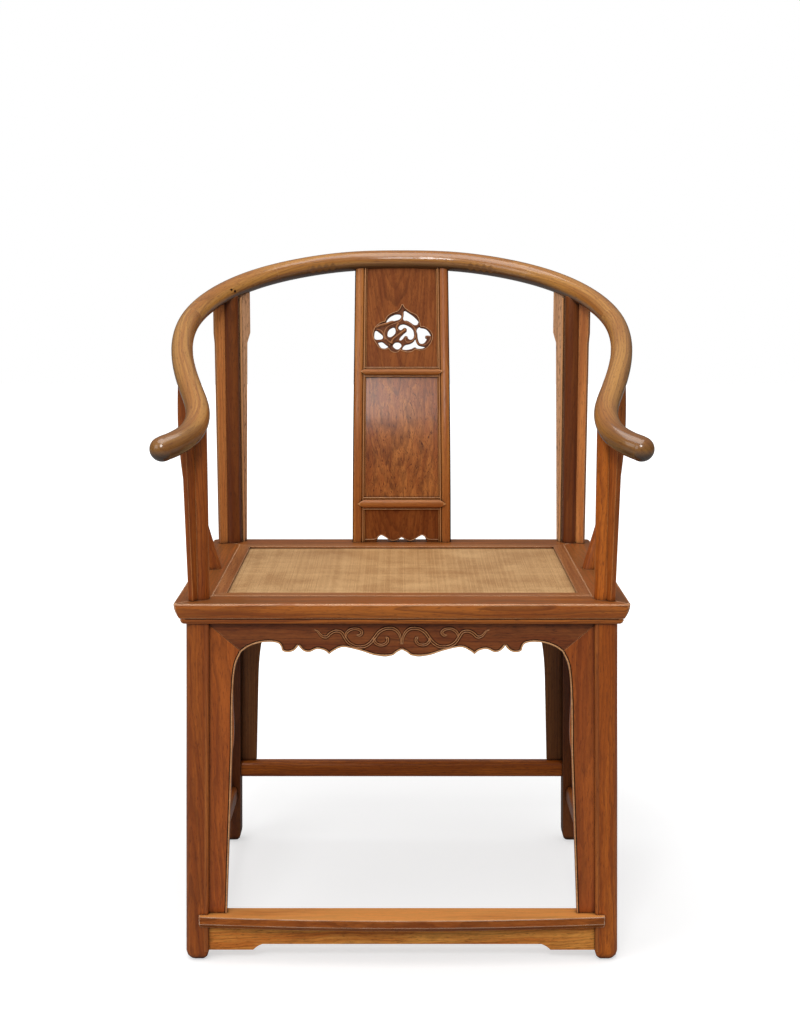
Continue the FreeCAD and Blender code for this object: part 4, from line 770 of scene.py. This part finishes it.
# Openings between the scrolls.
CLOUD_HOLES = (
    ((-24.5, 10), (-22.5, 15), (-17.5, 19.5), (-11, 22.5), (-6.5, 23), (-2, 22), (-1.5, 18), (-5, 14.5),
     (-12.5, 12.5), (-19.5, 10.5)),
    ((4.5, 28.5), (11.5, 25), (19.5, 19.5), (25.5, 13.5), (27, 10), (24.5, 6.5), (20, 6.5), (14, 10.5), (9, 13),
     (3.5, 14), (3, 21)),
    ((-22.5, -8.5), (-21.5, -3.5), (-17.5, 0.5), (-12.5, 2), (-10.5, -2), (-11, -7), (-14.5, -11), (-18.5, -13),
     (-22, -12)),
    ((-5, 1.5), (-2, 6), (4, 7), (11.5, 4), (17.5, -1), (19.5, -8), (18.5, -14.5), (14.5, -17), (11, -15.5),
     (9.5, -12), (5, -11.5), (1, -16.5), (-3, -18.5), (-2.5, -14.5), (3, -8.5), (8.5, -4), (8, 0.5), (3.5, 1.5),
     (-1.5, -2)),
    ((-44, -13), (-43.5, -6), (-41.5, -3), (-36, -6.5), (-31.5, -10.5), (-31.5, -15.5), (-37, -17),
     (-42.5, -16.5)),
    ((-37.5, -23), (-35.5, -21.5), (-31, -21.5), (-26.5, -25), (-22.5, -28.5), (-27.5, -31), (-33.5, -29.5)),
    ((-14, -27), (-11, -22.5), (-6, -21.5), (-2, -23.5), (-1, -27.5), (-5, -32), (-10, -31.5)),
    ((1, -31.5), (5.5, -26), (13.5, -24), (19.5, -20.5), (22.5, -16.5), (23.5, -21), (27.5, -26.5), (37, -29),
     (32.5, -31), (25, -31), (21.5, -29), (16, -31.5), (9.5, -33), (4, -33)),
    ((24.5, -3), (27.5, 2), (33.5, 3), (40, -1), (45, -7), (46.5, -12), (40, -10.5), (37.5, -13), (40, -16.5),
     (36, -22.5), (30, -23), (27, -16.5), (26, -8.5)),
)
# Ridges along the scrolls: points, then the radius at the start, along the line and at the end.
SCROLLS = (
    (((2, 34.5), (2, 25), (1, 18), (-2.5, 12), (-10, 8.5), (-18.5, 5.5), (-25, 0.5), (-28, -6), (-27, -13),
      (-22.5, -19), (-17.5, -23)), 0.8, 1.3, 2.2),
    (((-1, 10), (5, 11), (12.5, 8.5), (18.5, 4), (22, -2), (22.5, -9), (20.5, -16), (15.5, -20.5), (9, -21.5),
      (6, -18), (6.5, -14.5), (10, -14)), 1.0, 1.3, 1.2),
    (((-17.5, -24), (-14, -17), (-8, -12), (-2, -7.5), (3, -4), (5.5, -2), (4, -0.5)), 2.8, 1.8, 1.4),
    (((-5, 8.5), (-8, 4), (-8.5, -0.5), (-6, -3.5)), 1.4, 1.6, 1.6),
    (((28, 5.5), (23.5, 0), (22.6, -8), (23.8, -17), (27, -24), (34, -26.2), (41, -24), (46, -18), (46.5, -13),
      (42.5, -12), (39.5, -13), (40, -14.5)), 0.9, 1.3, 1.3),
    (((18.5, 4.5), (22.5, 3), (26.5, 3.5), (28.5, 6.5), (27.5, 9.5)), 0.9, 1.1, 1.2),
    (((-42, 1.5), (-36, 4.5), (-28.5, 6.5), (-22.5, 8), (-17.5, 10), (-11, 11)), 1.7, 2.1, 1.2),
    (((-41, -1), (-35.5, -2), (-30.5, -6.5), (-29, -12), (-26.5, -17.5)), 1.2, 1.3, 1.8),
    (((-42.5, -19), (-35.5, -19.2), (-29.5, -19.2), (-23.5, -22), (-18.5, -26.5)), 0.9, 1.2, 2.0),
    (((-16.5, -24.5), (-14.5, -21), (-8, -19), (-2, -19.5), (3, -22.5), (1.5, -27.5), (-0.5, -32)), 1.4, 1.1, 1.0),
    (((-6.5, 24.5), (-3, 24.2), (-0.5, 23)), 0.9, 1.0, 0.9),
)
CLOUD_MIDDLE = np.array([0, 847.6 * MM])
PANEL_INSET = 13.5 * MM
LINE_TOP = 944 * MM


def pierced(name, outlines, half_thick, ease):
    """Thin board on the splat's curve, with every further outline cut right through it."""
    data = bpy.data.curves.new(name, "CURVE")
    data.dimensions = "2D"
    data.fill_mode = "BOTH"
    data.extrude = (half_thick - ease) * MM
    data.bevel_depth = ease * MM
    data.bevel_resolution = 1
    data.offset = -ease * MM
    for outline in outlines:
        polyline(data, [(*point, 0) for point in outline], True)
    piece = settled(shown(name, data))
    low, high = (pick(point[1] for point in outlines[0]) for pick in (min, max))
    row = 6 * MM
    with edited(piece.data) as work:
        join_points(work)
        for z in np.arange(low + row, high, row):
            bmesh.ops.bisect_plane(work, geom=work.verts[:] + work.edges[:] + work.faces[:],
                                   plane_co=(0, z, 0), plane_no=(0, 1, 0))
    return finished(placed(piece, on_splat), 0.2, 60, 1)


def widened(outline, reach):
    """A closed outline grown all round by reach."""
    along = np.roll(outline, -1, 0) - np.roll(outline, 1, 0)
    turn = np.cross(outline - outline.mean(0), along).sum()
    return outline + sideways(along) * reach * (1 if turn > 0 else -1)


def between_stiles(low, high):
    """Corners of a panel whose edges lie in the stiles' grooves."""
    near, far = (splat_half(z) - PANEL_INSET for z in (low, high))
    return [(-near, low), (near, low), (far, high), (-far, high)]


FOOT_ARCH = ((41, 0), (39, 4.6), (36.5, 9), (32.5, 10.6), (28, 8.6), (20, 3.4), (13, 1.2), (6, 3.8), (0, 7.4))
FOOT_BEAD = ((59, 4.1), (47, 4.2), (42.5, 4.8), (40, 6.4), (37.5, 10), (32.5, 11.8), (28, 9.8), (20, 4.5), (13, 2.3),
             (6, 5), (0, 8.6))


def foot_line(points, side):
    """Half a line at the splat's foot, from the outside to the middle."""
    return flowing(points, 6) * np.array([side, 1]) * MM + np.array([0, SEAT_TOP])


for label, side in (("left", -1), ("right", 1)):
    stile = swept(f"splat_stile_{label}_moulded", splat_stile(side))
    made(finished(stile, 0.15, 50, 1), f"splat_stile_{label}")
for node, rail in (("splat_upper_rail", cross_rail(770.6, 785.6, 773.2, 782.4)),
                   ("splat_lower_rail", cross_rail(562.6, 582, 565.4, 578.8))):
    made(finished(swept(node + "_moulded", rail), 0.2, 50, 1), node, along_axis("x"))
cloud = np.concatenate([flowing(stretch, 6)[:-1] for stretch in CLOUD]) * MM + CLOUD_MIDDLE
made(pierced("splat_top_panel_carved", [between_stiles(780 * MM, SPLAT_TOP), cloud], 4, 0.5), "splat_top_panel")
lower_left, *others = between_stiles(SEAT_TOP, 565 * MM)
arch = np.concatenate([foot_line(FOOT_ARCH, -1), foot_line(FOOT_ARCH, 1)[-2::-1]])
board = pierced("splat_bottom_panel_carved", [[lower_left, *arch, *others]], 4, 0.4)
made(board, "splat_bottom_panel")

ON_SPLAT = (on_splat, "splat_wood", along_splat)
ground = cloud.mean(0) + (cloud - cloud.mean(0)) * 1.03
holes = [widened(flowing(hole, 5, True), 0.55) * MM + CLOUD_MIDDLE for hole in CLOUD_HOLES]
added(pierced("cloud_openwork", [ground, *holes], 2.9, 0.5), *ON_SPLAT[1:], "cloud")
rim = inset_line(cloud, (0, 0), -0.9 * MM)
beads("cloud_rim", [stroke(rim, 0.55 * MM, out * MM, True) for out in (4.1, -4.1)], "bead", *ON_SPLAT, sides=8)
scrolls = []
for points, *thickness in SCROLLS:
    line = flowing(points, 7)
    scrolls.append(stroke(line * MM + CLOUD_MIDDLE, swelling(len(line), *thickness) * 1.15 * MM))
beads("cloud_scrolls", scrolls, "scroll", *ON_SPLAT, depth=2.2)


def down_stiles(inset, radius, out):
    """Lines down both stiles, inset from their outer edges."""
    heights = np.linspace(SEAT_TOP + 1 * MM, LINE_TOP, 40)
    reach = splat_half(heights) - inset * MM
    return [stroke(np.column_stack([side * reach, heights]), radius * MM, out * MM) for side in (-1, 1)]


def across_splat(heights, inset, radius, out):
    """Level lines across the splat at each height."""
    return [stroke([(side * (splat_half(z * MM) - inset * MM), z * MM) for side in (-1, 1)], radius * MM, out * MM)
            for z in heights]


# Fine pale lines: the stiles' inner edges, the cross rails' edges and the arch at the foot, coloured paler as painted
# highlight along the raised beads.
foot_beads = [stroke(foot_line(FOOT_BEAD, side), 0.8 * MM, 4.2 * MM) for side in (-1, 1)]
rail_edges = across_splat((563.2, 581.4, 771.2, 785.0), 17, 0.75, 7.2)
beads("splat_fine_lines", down_stiles(16.3, 0.7, 7.2) + rail_edges + foot_beads, "bead", *ON_SPLAT, sides=8)

# Dark lines: painted shade, with some old wax, in the grooves between the mouldings, and painted shade along the
# stiles' outer edges where they round away from the light.
lines = [line for groove in ((0.4, 0.9, 6.0), (14.4, 0.65, 5.6), (18.1, 0.75, 5.2)) for line in down_stiles(*groove)]
lines += across_splat((565.3, 578.9, 773.1, 782.5), 18.5, 0.6, 6.2)
beads("splat_dark_lines", lines, "plugs, groove wax and painted shade", *ON_SPLAT, sides=6)


# Front apron: a bead along its cusped edge and tendrils in low relief, with dark lines of painted shade above the
# bead and around the tendrils.

APRON_HALF = 260 * MM
APRON_DROP = 46 * MM
SPANDREL_LENGTH = 411 * MM
SPANDREL_FOOT = 25 * MM
TENDRIL = ((-118.5, 10), (-114, 12), (-108.5, 18.5), (-102, 20), (-97, 15.5), (-90, 12), (-82, 13.5), (-77.5, 20),
           (-72, 28), (-63, 33), (-52, 33.5), (-43.5, 29), (-37.5, 22), (-31, 13.5), (-22, 8.5), (-12, 8.5),
           (-5, 13.5), (-1.5, 22), (-1, 30))
TENDRIL_CURLS = (
    ((-38, 21), (-36.5, 27), (-31, 31), (-24, 30.5), (-19.5, 26.5), (-19.5, 22), (-22, 20.5)),
    ((-76.5, 21), (-74, 13.5), (-67, 9), (-58.5, 9.5), (-54, 13.5), (-56.5, 17.5), (-61, 17.5)),
)


def spandrel_edge():
    """Inner edge of the front spandrel from the mitre to the footrail."""
    x, h = APRON_EDGE[0][0][0] * APRON_HALF, APRON_EDGE[0][0][1] * APRON_DROP
    foot = APRON_HALF + FOOT_SPREAD_X * SPANDREL_LENGTH / UNDER - SPANDREL_FOOT
    points = [(x, h)] + [(foot - (foot - x) * a, h + (SPANDREL_LENGTH - h) * b) for a, b in SPANDREL_EDGE]
    return np.concatenate([flowing(points, 10), [(foot, SPANDREL_LENGTH)]])


def both_sides(strokes):
    """The strokes and their mirror images."""
    return strokes + [(points * np.array([-1, 1, 1]), radii, closed) for points, radii, closed in strokes]


def cusped_edge(inset, radius):
    """A line along the apron's whole edge and down both spandrels."""
    lines = [inset_line(flowing(np.array(stretch) * np.array([APRON_HALF, APRON_DROP])), (0, -1), inset * MM)
             for stretch in APRON_EDGE]
    lines.append(inset_line(spandrel_edge(), (1, 0), inset * MM))
    return both_sides([stroke(line, radius * MM) for line in lines])


def tendril_strokes():
    """Stems drawn as two fine ridges with a hollow between them."""
    ridges, hollows = [], []
    for points, reach in ((TENDRIL, 1.4), (TENDRIL_CURLS[0], 1.2), (TENDRIL_CURLS[1], 1.2)):
        line = flowing(points, 7)
        share = np.linspace(0, 1, len(line))
        spread = sideways(np.gradient(line, axis=0)) * np.interp(share, [0, 0.15, 0.85, 1], [0.2, 1, 1, 0.4])[:, None]
        radii = np.interp(share, [0, 0.1, 0.9, 1], [0.45, 0.85, 0.85, 0.5])
        ridges += [stroke((line + spread * out) * MM, radii * MM) for out in (-reach, reach)]
        # The hollows are dark lines of painted shade, between and beside the ridges.
        hollows += [stroke((line + spread * out) * MM, radii * 0.75 * MM) for out in (-reach - 1.25, 0, reach + 1.25)]
    return both_sides(ridges), both_sides(hollows)


ON_APRON = (on_apron, "apron_wood", along_axis("x"))
ridges, hollows = tendril_strokes()
# Painted shade: a dark line just above the cusped bead.
beads("front_apron_grooves", cusped_edge(2.7, 0.7), "plugs, groove wax and painted shade", *ON_APRON, depth=0.5, sides=6)
beads("front_apron_bead", cusped_edge(1.0, 1.15), "cusp", *ON_APRON)
beads("front_apron_tendrils", ridges, "tendril", *ON_APRON, sides=8)
beads("front_apron_hollows", hollows, "plugs, groove wax and painted shade", *ON_APRON, depth=0.5, sides=6)


# Legs: a bead down each edge that meets an apron.

LEG_X = 276 * MM
LEG_Y = {-1: -204.5 * MM, 1: 208 * MM}
LEG_BEAD_X, LEG_BEAD_Y = (-12.8 * MM, 13.3 * MM), (13.3 * MM, -12.8 * MM)
LEG_BEAD_FOOT = 14 * MM


def leg_middle(side, end, z):
    spread = 1 - z / UNDER
    return np.array([side * (LEG_X + FOOT_SPREAD_X * spread), SEAT_Y + LEG_Y[end] + end * FOOT_SPREAD_Y * spread, z])


def unmoved(points):
    return points


for end_label, end in (("front", -1), ("rear", 1)):
    for label, side in (("left", -1), ("right", 1)):
        strokes = []
        for across, along in zip(LEG_BEAD_X, LEG_BEAD_Y):
            offset = np.array([side * across, end * along, 0])
            ends = [leg_middle(side, end, z) + offset for z in (LEG_BEAD_FOOT, UNDER)]
            strokes.append((ends, 3.5 * MM, False))
        beads(f"{end_label}_leg_{label}_beads", strokes, "frame", unmoved, "frame_wood", along_axis("z"), sides=20)


# Rear posts: a bead where each meets its inner flange.

POST_FOOT = np.array([271.5 * MM, SEAT_Y + 208.5 * MM, UNDER])
POST_TOP_RUN = 309 * MM
POST_BEAD_END = 13 * MM
FLANGE_X, FLANGE_Y = 0.74, 0.673
POST_BEAD_ALONG, POST_BEAD_AHEAD = 15.8 * MM, 5.6 * MM

crest_half = CREST_LINE[len(CREST_LINE) // 2:]
post_head = np.array([np.interp(POST_TOP_RUN, lengths_along(crest_half), part) for part in crest_half.T])
offset = np.array([-FLANGE_X * POST_BEAD_ALONG - FLANGE_Y * POST_BEAD_AHEAD,
                   FLANGE_Y * POST_BEAD_ALONG - FLANGE_X * POST_BEAD_AHEAD, 0])
ends = np.array([POST_FOOT + (post_head - POST_FOOT) * (z - UNDER) / (post_head[2] - UNDER) + offset
                 for z in (SEAT_TOP, post_head[2] - POST_BEAD_END)])
post_strokes = [(ends * np.array([side, 1, 1]), 1.9 * MM, False) for side in (-1, 1)]
beads("rear_post_beads", post_strokes, "cusp", unmoved, "apron_wood", along_axis("z"), sides=14)


# Seat frame: a dark line of painted shade, with some old wax, under the band, and two small plugs in the crest rail.

GROOVE_X, GROOVE_Y, GROOVE_Z = 297.6 * MM, 226.6 * MM, 486.8 * MM
# Each plug's place, the way it faces and its radius, in millimetres.
PLUGS = (((-266.5, 165.8, 913.3), (11.8, -8.9, 4.3), 1.7), ((-261.7, 171.5, 910.9), (12, -9.7, -0.6), 2.1))

corner = [(GROOVE_X, GROOVE_Y - 8 * MM), (GROOVE_X - 2.5 * MM, GROOVE_Y - 2.5 * MM), (GROOVE_X - 8 * MM, GROOVE_Y)]
ring = [(side * x, SEAT_Y + end * y, GROOVE_Z)
        for side, end in ((1, 1), (-1, 1), (-1, -1), (1, -1)) for x, y in corner[::side * end]]
beads("seat_frame_groove", [(ring, 0.85 * MM, True)], "plugs, groove wax and painted shade", unmoved, "frame_wood", along_axis("x"), sides=8)
plugs = []
for place, away, radius in PLUGS:
    away = np.array(away) / np.linalg.norm(away)
    plugs.append((np.array([place + away * out for out in (-4.0, 1.2)]) * MM, radius * MM, False))
beads("crest_plugs", plugs, "plugs, groove wax and painted shade", unmoved, "rail_wood", along_axis("x"), sides=14)


# Seat: woven cane mat, stretched over a webbing of palm cord.

MAT_HALF = (258 * MM, 184 * MM)
MAT_OPEN = (240 * MM, 166 * MM)
MAT_FLAT = (0.516, 0.368)
MAT_TOP = 506.1 * MM
MAT_THICK = 1.6 * MM
MAT_SAG = 2.5 * MM
WEBBING_Z = 502 * MM


def cane_weave():
    """Fine over and under weave of flat cane, seen from its place on the seat."""
    tree, given, result = node_group(
        "Shader", "cane weave", {"Place": "Vector", "Strand": 0.0017, "Pale": "Color", "Deep": "Color"},
        {"Color": "Color", "Height": "Float"})
    wander = noise(tree, given["Place"], 55, detail=1, out="Color")
    drift = vector(tree, "SUBTRACT", wander, (0.5, 0.5, 0.5))
    axes = parted(tree, vector(tree, "MULTIPLY_ADD", drift, (0.0012, 0.0012, 0), given["Place"]))
    u, v = (calc(tree, "DIVIDE", axes[name], given["Strand"]) for name in ("X", "Y"))
    column, row = calc(tree, "FLOOR", u), calc(tree, "FLOOR", v)
    over = calc(tree, "PINGPONG", calc(tree, "ADD", column, row), 1.0)
    lengthwise, crosswise = (calc(tree, "SINE", times(tree, calc(tree, "FRACT", run), math.pi)) for run in (v, u))
    height = put(tree, "Mix", {0: over, 2: lengthwise, 3: crosswise}).outputs[0]
    strand = put(tree, "Mix", {0: over, 2: row, 3: calc(tree, "ADD", column, 700.0)}).outputs[0]
    tone = swung(tree, chance(tree, strand), 0.35, noise(tree, given["Place"], 14, detail=4, rough=0.6))
    tone = swung(tree, noise(tree, given["Place"], 420), 0.6, tone)
    tone = ranged(tree, swung(tree, height, 0.45, tone, middle=0.75), 0.15, 0.8)
    feed(tree, result, {"Color": mixed(tree, tone, given["Deep"], given["Pale"]), "Height": height})
    return tree


def cane_material():
    cane, tree, shader = blank_material("woven cane")
    weave = put(tree, "Group", {"Place": put(tree, "TexCoord").outputs["Object"]}, node_tree=cane_weave())
    feed(tree, weave.inputs, {"Pale": paint((221, 177, 122)), "Deep": paint((170, 122, 72))})
    # Darker near the frame and strips: dust, with painted shade from ambient occlusion.
    dust_and_shade = ranged(tree, openness(tree, 0.02), 0.85, 0.3, 0.0, 0.7)
    feed(tree, shader.inputs, {
        "Base Color": mixed(tree, dust_and_shade, weave.outputs["Color"], paint((96, 62, 36))), "Roughness": 0.55,
        "Normal": raised(tree, weave.outputs["Height"], 0.5, 0.25)})
    return cane


def cord_material():
    cord, tree, shader = blank_material("palm fibre cord")
    place = put(tree, "TexCoord").outputs["Object"]
    fibre = noise(tree, place, 900, detail=3, rough=0.7)
    tone = ranged(tree, swung(tree, noise(tree, place, 30), 1.0, fibre), 0.3, 0.75)
    feed(tree, shader.inputs, {
        "Base Color": mixed(tree, tone, paint((88, 58, 34)), paint((156, 114, 72))), "Roughness": 0.85,
        "Normal": raised(tree, fibre, 0.6, 0.3)})
    return cord


def sunk(x, y):
    """How far the seat sags at a place measured from its middle."""
    open_x, open_y = np.minimum(1.0, abs(x) / MAT_OPEN[0]), np.minimum(1.0, abs(y) / MAT_OPEN[1])
    return MAT_SAG * (1 - open_x ** 2) * (1 - open_y ** 2)


def cane_mat():
    """Grid that lies flat under the strips and sags a little between them."""
    across, along = 129, 92
    y, x = (part.ravel() for part in np.meshgrid(np.linspace(-1, 1, along), np.linspace(-1, 1, across),
                                                 indexing="ij"))
    ripple = 0.08 * np.sin(9 * x + 2 * y) * np.sin(7 * y - x)
    place_x, place_y = x * MAT_HALF[0], y * MAT_HALF[1]
    z = MAT_TOP - MAT_THICK / 2 - sunk(place_x, place_y) * (1 - ripple)
    faces = [(r * across + c, r * across + c + 1, (r + 1) * across + c + 1, (r + 1) * across + c)
             for r in range(along - 1) for c in range(across - 1)]
    mesh = mesh_of("seat_mat_woven", np.column_stack([place_x, SEAT_Y + place_y, z]), faces)
    for face in mesh.polygons:
        face.use_smooth = True
    piece = shown("seat_mat_woven", mesh)
    thick = piece.modifiers.new("cane thickness", "SOLIDIFY")
    thick.thickness = MAT_THICK
    thick.offset = 0
    return settled(piece)


def webbing_tree():
    """Cords both ways, each going over and under the ones it crosses."""
    tree, given, result = node_group(
        "Geometry", "cord webbing",
        {"Geometry": "Geometry", "Width": 0.5, "Length": 0.36, "Pitch": 0.012, "Wave": 0.0007,
         "Cord Radius": 0.0012, "Finish": "Material"}, {"Geometry": "Geometry"})

    def shift(axis, value):
        return put(tree, "CombineXYZ", {axis: value}).outputs[0]

    both = tree.nodes.new("GeometryNodeJoinGeometry")
    for size, other, axis, cross, way in (("Width", "Length", "X", "Y", 1.0), ("Length", "Width", "Y", "X", -1.0)):
        reach = times(tree, given[size], 0.5)
        line = step(tree, "CurvePrimitiveLine", {"Start": shift(axis, times(tree, reach, -1.0)),
                                                 "End": shift(axis, reach)})
        fine = times(tree, calc(tree, "DIVIDE", given[size], given["Pitch"]), 4.0)
        line = step(tree, "ResampleCurve", {"Curve": line, "Count": fine})
        gaps = calc(tree, "FLOOR", calc(tree, "DIVIDE", given[other], given["Pitch"]))
        first = times(tree, times(tree, gaps, given["Pitch"]), -0.5)
        rows = step(tree, "MeshLine", {"Count": calc(tree, "ADD", gaps, 1.0),
                                       "Start Location": shift(cross, first),
                                       "Offset": shift(cross, given["Pitch"])})
        net = step(tree, "InstanceOnPoints", {"Points": rows, "Instance": line})
        net = step(tree, "RealizeInstances", {"Geometry": net})
        place = parted(tree, step(tree, "InputPosition"))
        waves = [calc(tree, "COSINE", times(tree, calc(tree, "DIVIDE", place[name], given["Pitch"]), math.pi))
                 for name in ("X", "Y")]
        lift = times(tree, times(tree, times(tree, *waves), given["Wave"]), way)
        net = step(tree, "SetPosition", {"Geometry": net, "Offset": shift("Z", lift)})
        ring = step(tree, "CurvePrimitiveCircle", {"Resolution": 6, "Radius": given["Cord Radius"]})
        cords = step(tree, "CurveToMesh", {"Curve": net, "Profile Curve": ring, "Fill Caps": True})
        tree.links.new(cords, both.inputs[0])
    return closed_off(tree, both.outputs[0], given, result)


def under_mat(points):
    """Lays the flat webbing under the sagging mat."""
    x, y, z = points.T
    return np.column_stack([x, y + SEAT_Y, z + WEBBING_Z - sunk(x, y)])


mat = cane_mat()
mat.data.materials.append(cane_material())
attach(mat, "root")
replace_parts(mat, "seat_mat")

webbing = grown(shown("seat_webbing_cords", bpy.data.meshes.new("seat_webbing_cords")), webbing_tree(),
                Width=MAT_FLAT[0], Length=MAT_FLAT[1], Finish=cord_material())
placed(webbing, under_mat)
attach(webbing, "root")
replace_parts(webbing, "seat_webbing")


# Studio.

FLOOR_REACH = 9


def floor_material():
    """Pale floor that keeps the chair's shadow and is white to the camera elsewhere."""
    pale, tree, shader = blank_material("studio floor")
    seen = put(tree, "LightPath").outputs["Is Camera Ray"]
    feed(tree, shader.inputs, {
        "Roughness": 0.9, "Base Color": mixed(tree, seen, (0.32, 0.32, 0.32, 1), (0.62, 0.62, 0.62, 1))})
    far = vector(tree, "LENGTH", put(tree, "TexCoord").outputs["Object"], out="Value")
    light = times(tree, seen, ranged(tree, far, 0.5, 1.2, 0.535, 1.0))
    glow = put(tree, "Emission", {"Color": (1, 1, 1, 1), "Strength": light})
    both = put(tree, "AddShader", {0: shader.outputs[0], 1: glow.outputs[0]})
    feed(tree, tree.nodes["Material Output"].inputs, {"Surface": both.outputs[0]})
    return pale


corners = [(x * FLOOR_REACH, y * FLOOR_REACH, 0) for x, y in ((-1, -1), (1, -1), (1, 1), (-1, 1))]
floor = shown("studio_floor", mesh_of("studio_floor", corners, [(0, 1, 2, 3)]))
floor.data.materials.append(floor_material())

world = bpy.data.worlds.new("studio")
bpy.context.scene.world = world
world.use_nodes = True
sky = world.node_tree
rays = put(sky, "LightPath").outputs
seen = calc(sky, "MAXIMUM", rays["Is Camera Ray"], rays["Is Transmission Ray"])
up = parted(sky, put(sky, "TexCoord").outputs["Generated"])["Z"]
soft = times(sky, ranged(sky, up, -0.1, 0.9, 0.15, 0.7), ranged(sky, rays["Is Glossy Ray"], 0.0, 1.0, 1.0, 0.35))
feed(sky, sky.nodes["Background"].inputs, {"Color": (1, 1, 1, 1), "Strength": calc(sky, "MAXIMUM", seen, soft)})


def soft_box(name, place, target, size, power):
    """A square lamp that faces the target."""
    lamp = bpy.data.lights.new(name, "AREA")
    lamp.shape = "SQUARE"
    lamp.size = size
    lamp.energy = power
    holder = shown(name, lamp)
    holder.location = place
    holder.rotation_euler = (Vector(target) - Vector(place)).to_track_quat("-Z", "Y").to_euler()


soft_box("overhead", (-0.3, -0.5, 3.2), (0, 0, 0.5), 2.2, 34)
soft_box("front_top", (-0.4, -2.7, 2.5), (0, 0, 0.6), 0.8, 27)
soft_box("front_left", (-2.2, -1.8, 1.7), (0, 0, 0.5), 1.4, 9)

CAMERA_PLACE = (-0.00165, SEAT_Y - 2.24033, 0.97589)
CAMERA_TILT, CAMERA_TURN = math.radians(90 - 9.5696), 0.00044
CAMERA_LENS = 54.504

camera = shown("camera", bpy.data.cameras.new("camera"))
camera.location = CAMERA_PLACE
camera.rotation_euler = (CAMERA_TILT, 0, CAMERA_TURN)
camera.data.lens = CAMERA_LENS
camera.data.sensor_width = 36
bpy.context.scene.camera = camera
bpy.context.scene.view_settings.view_transform = "Standard"
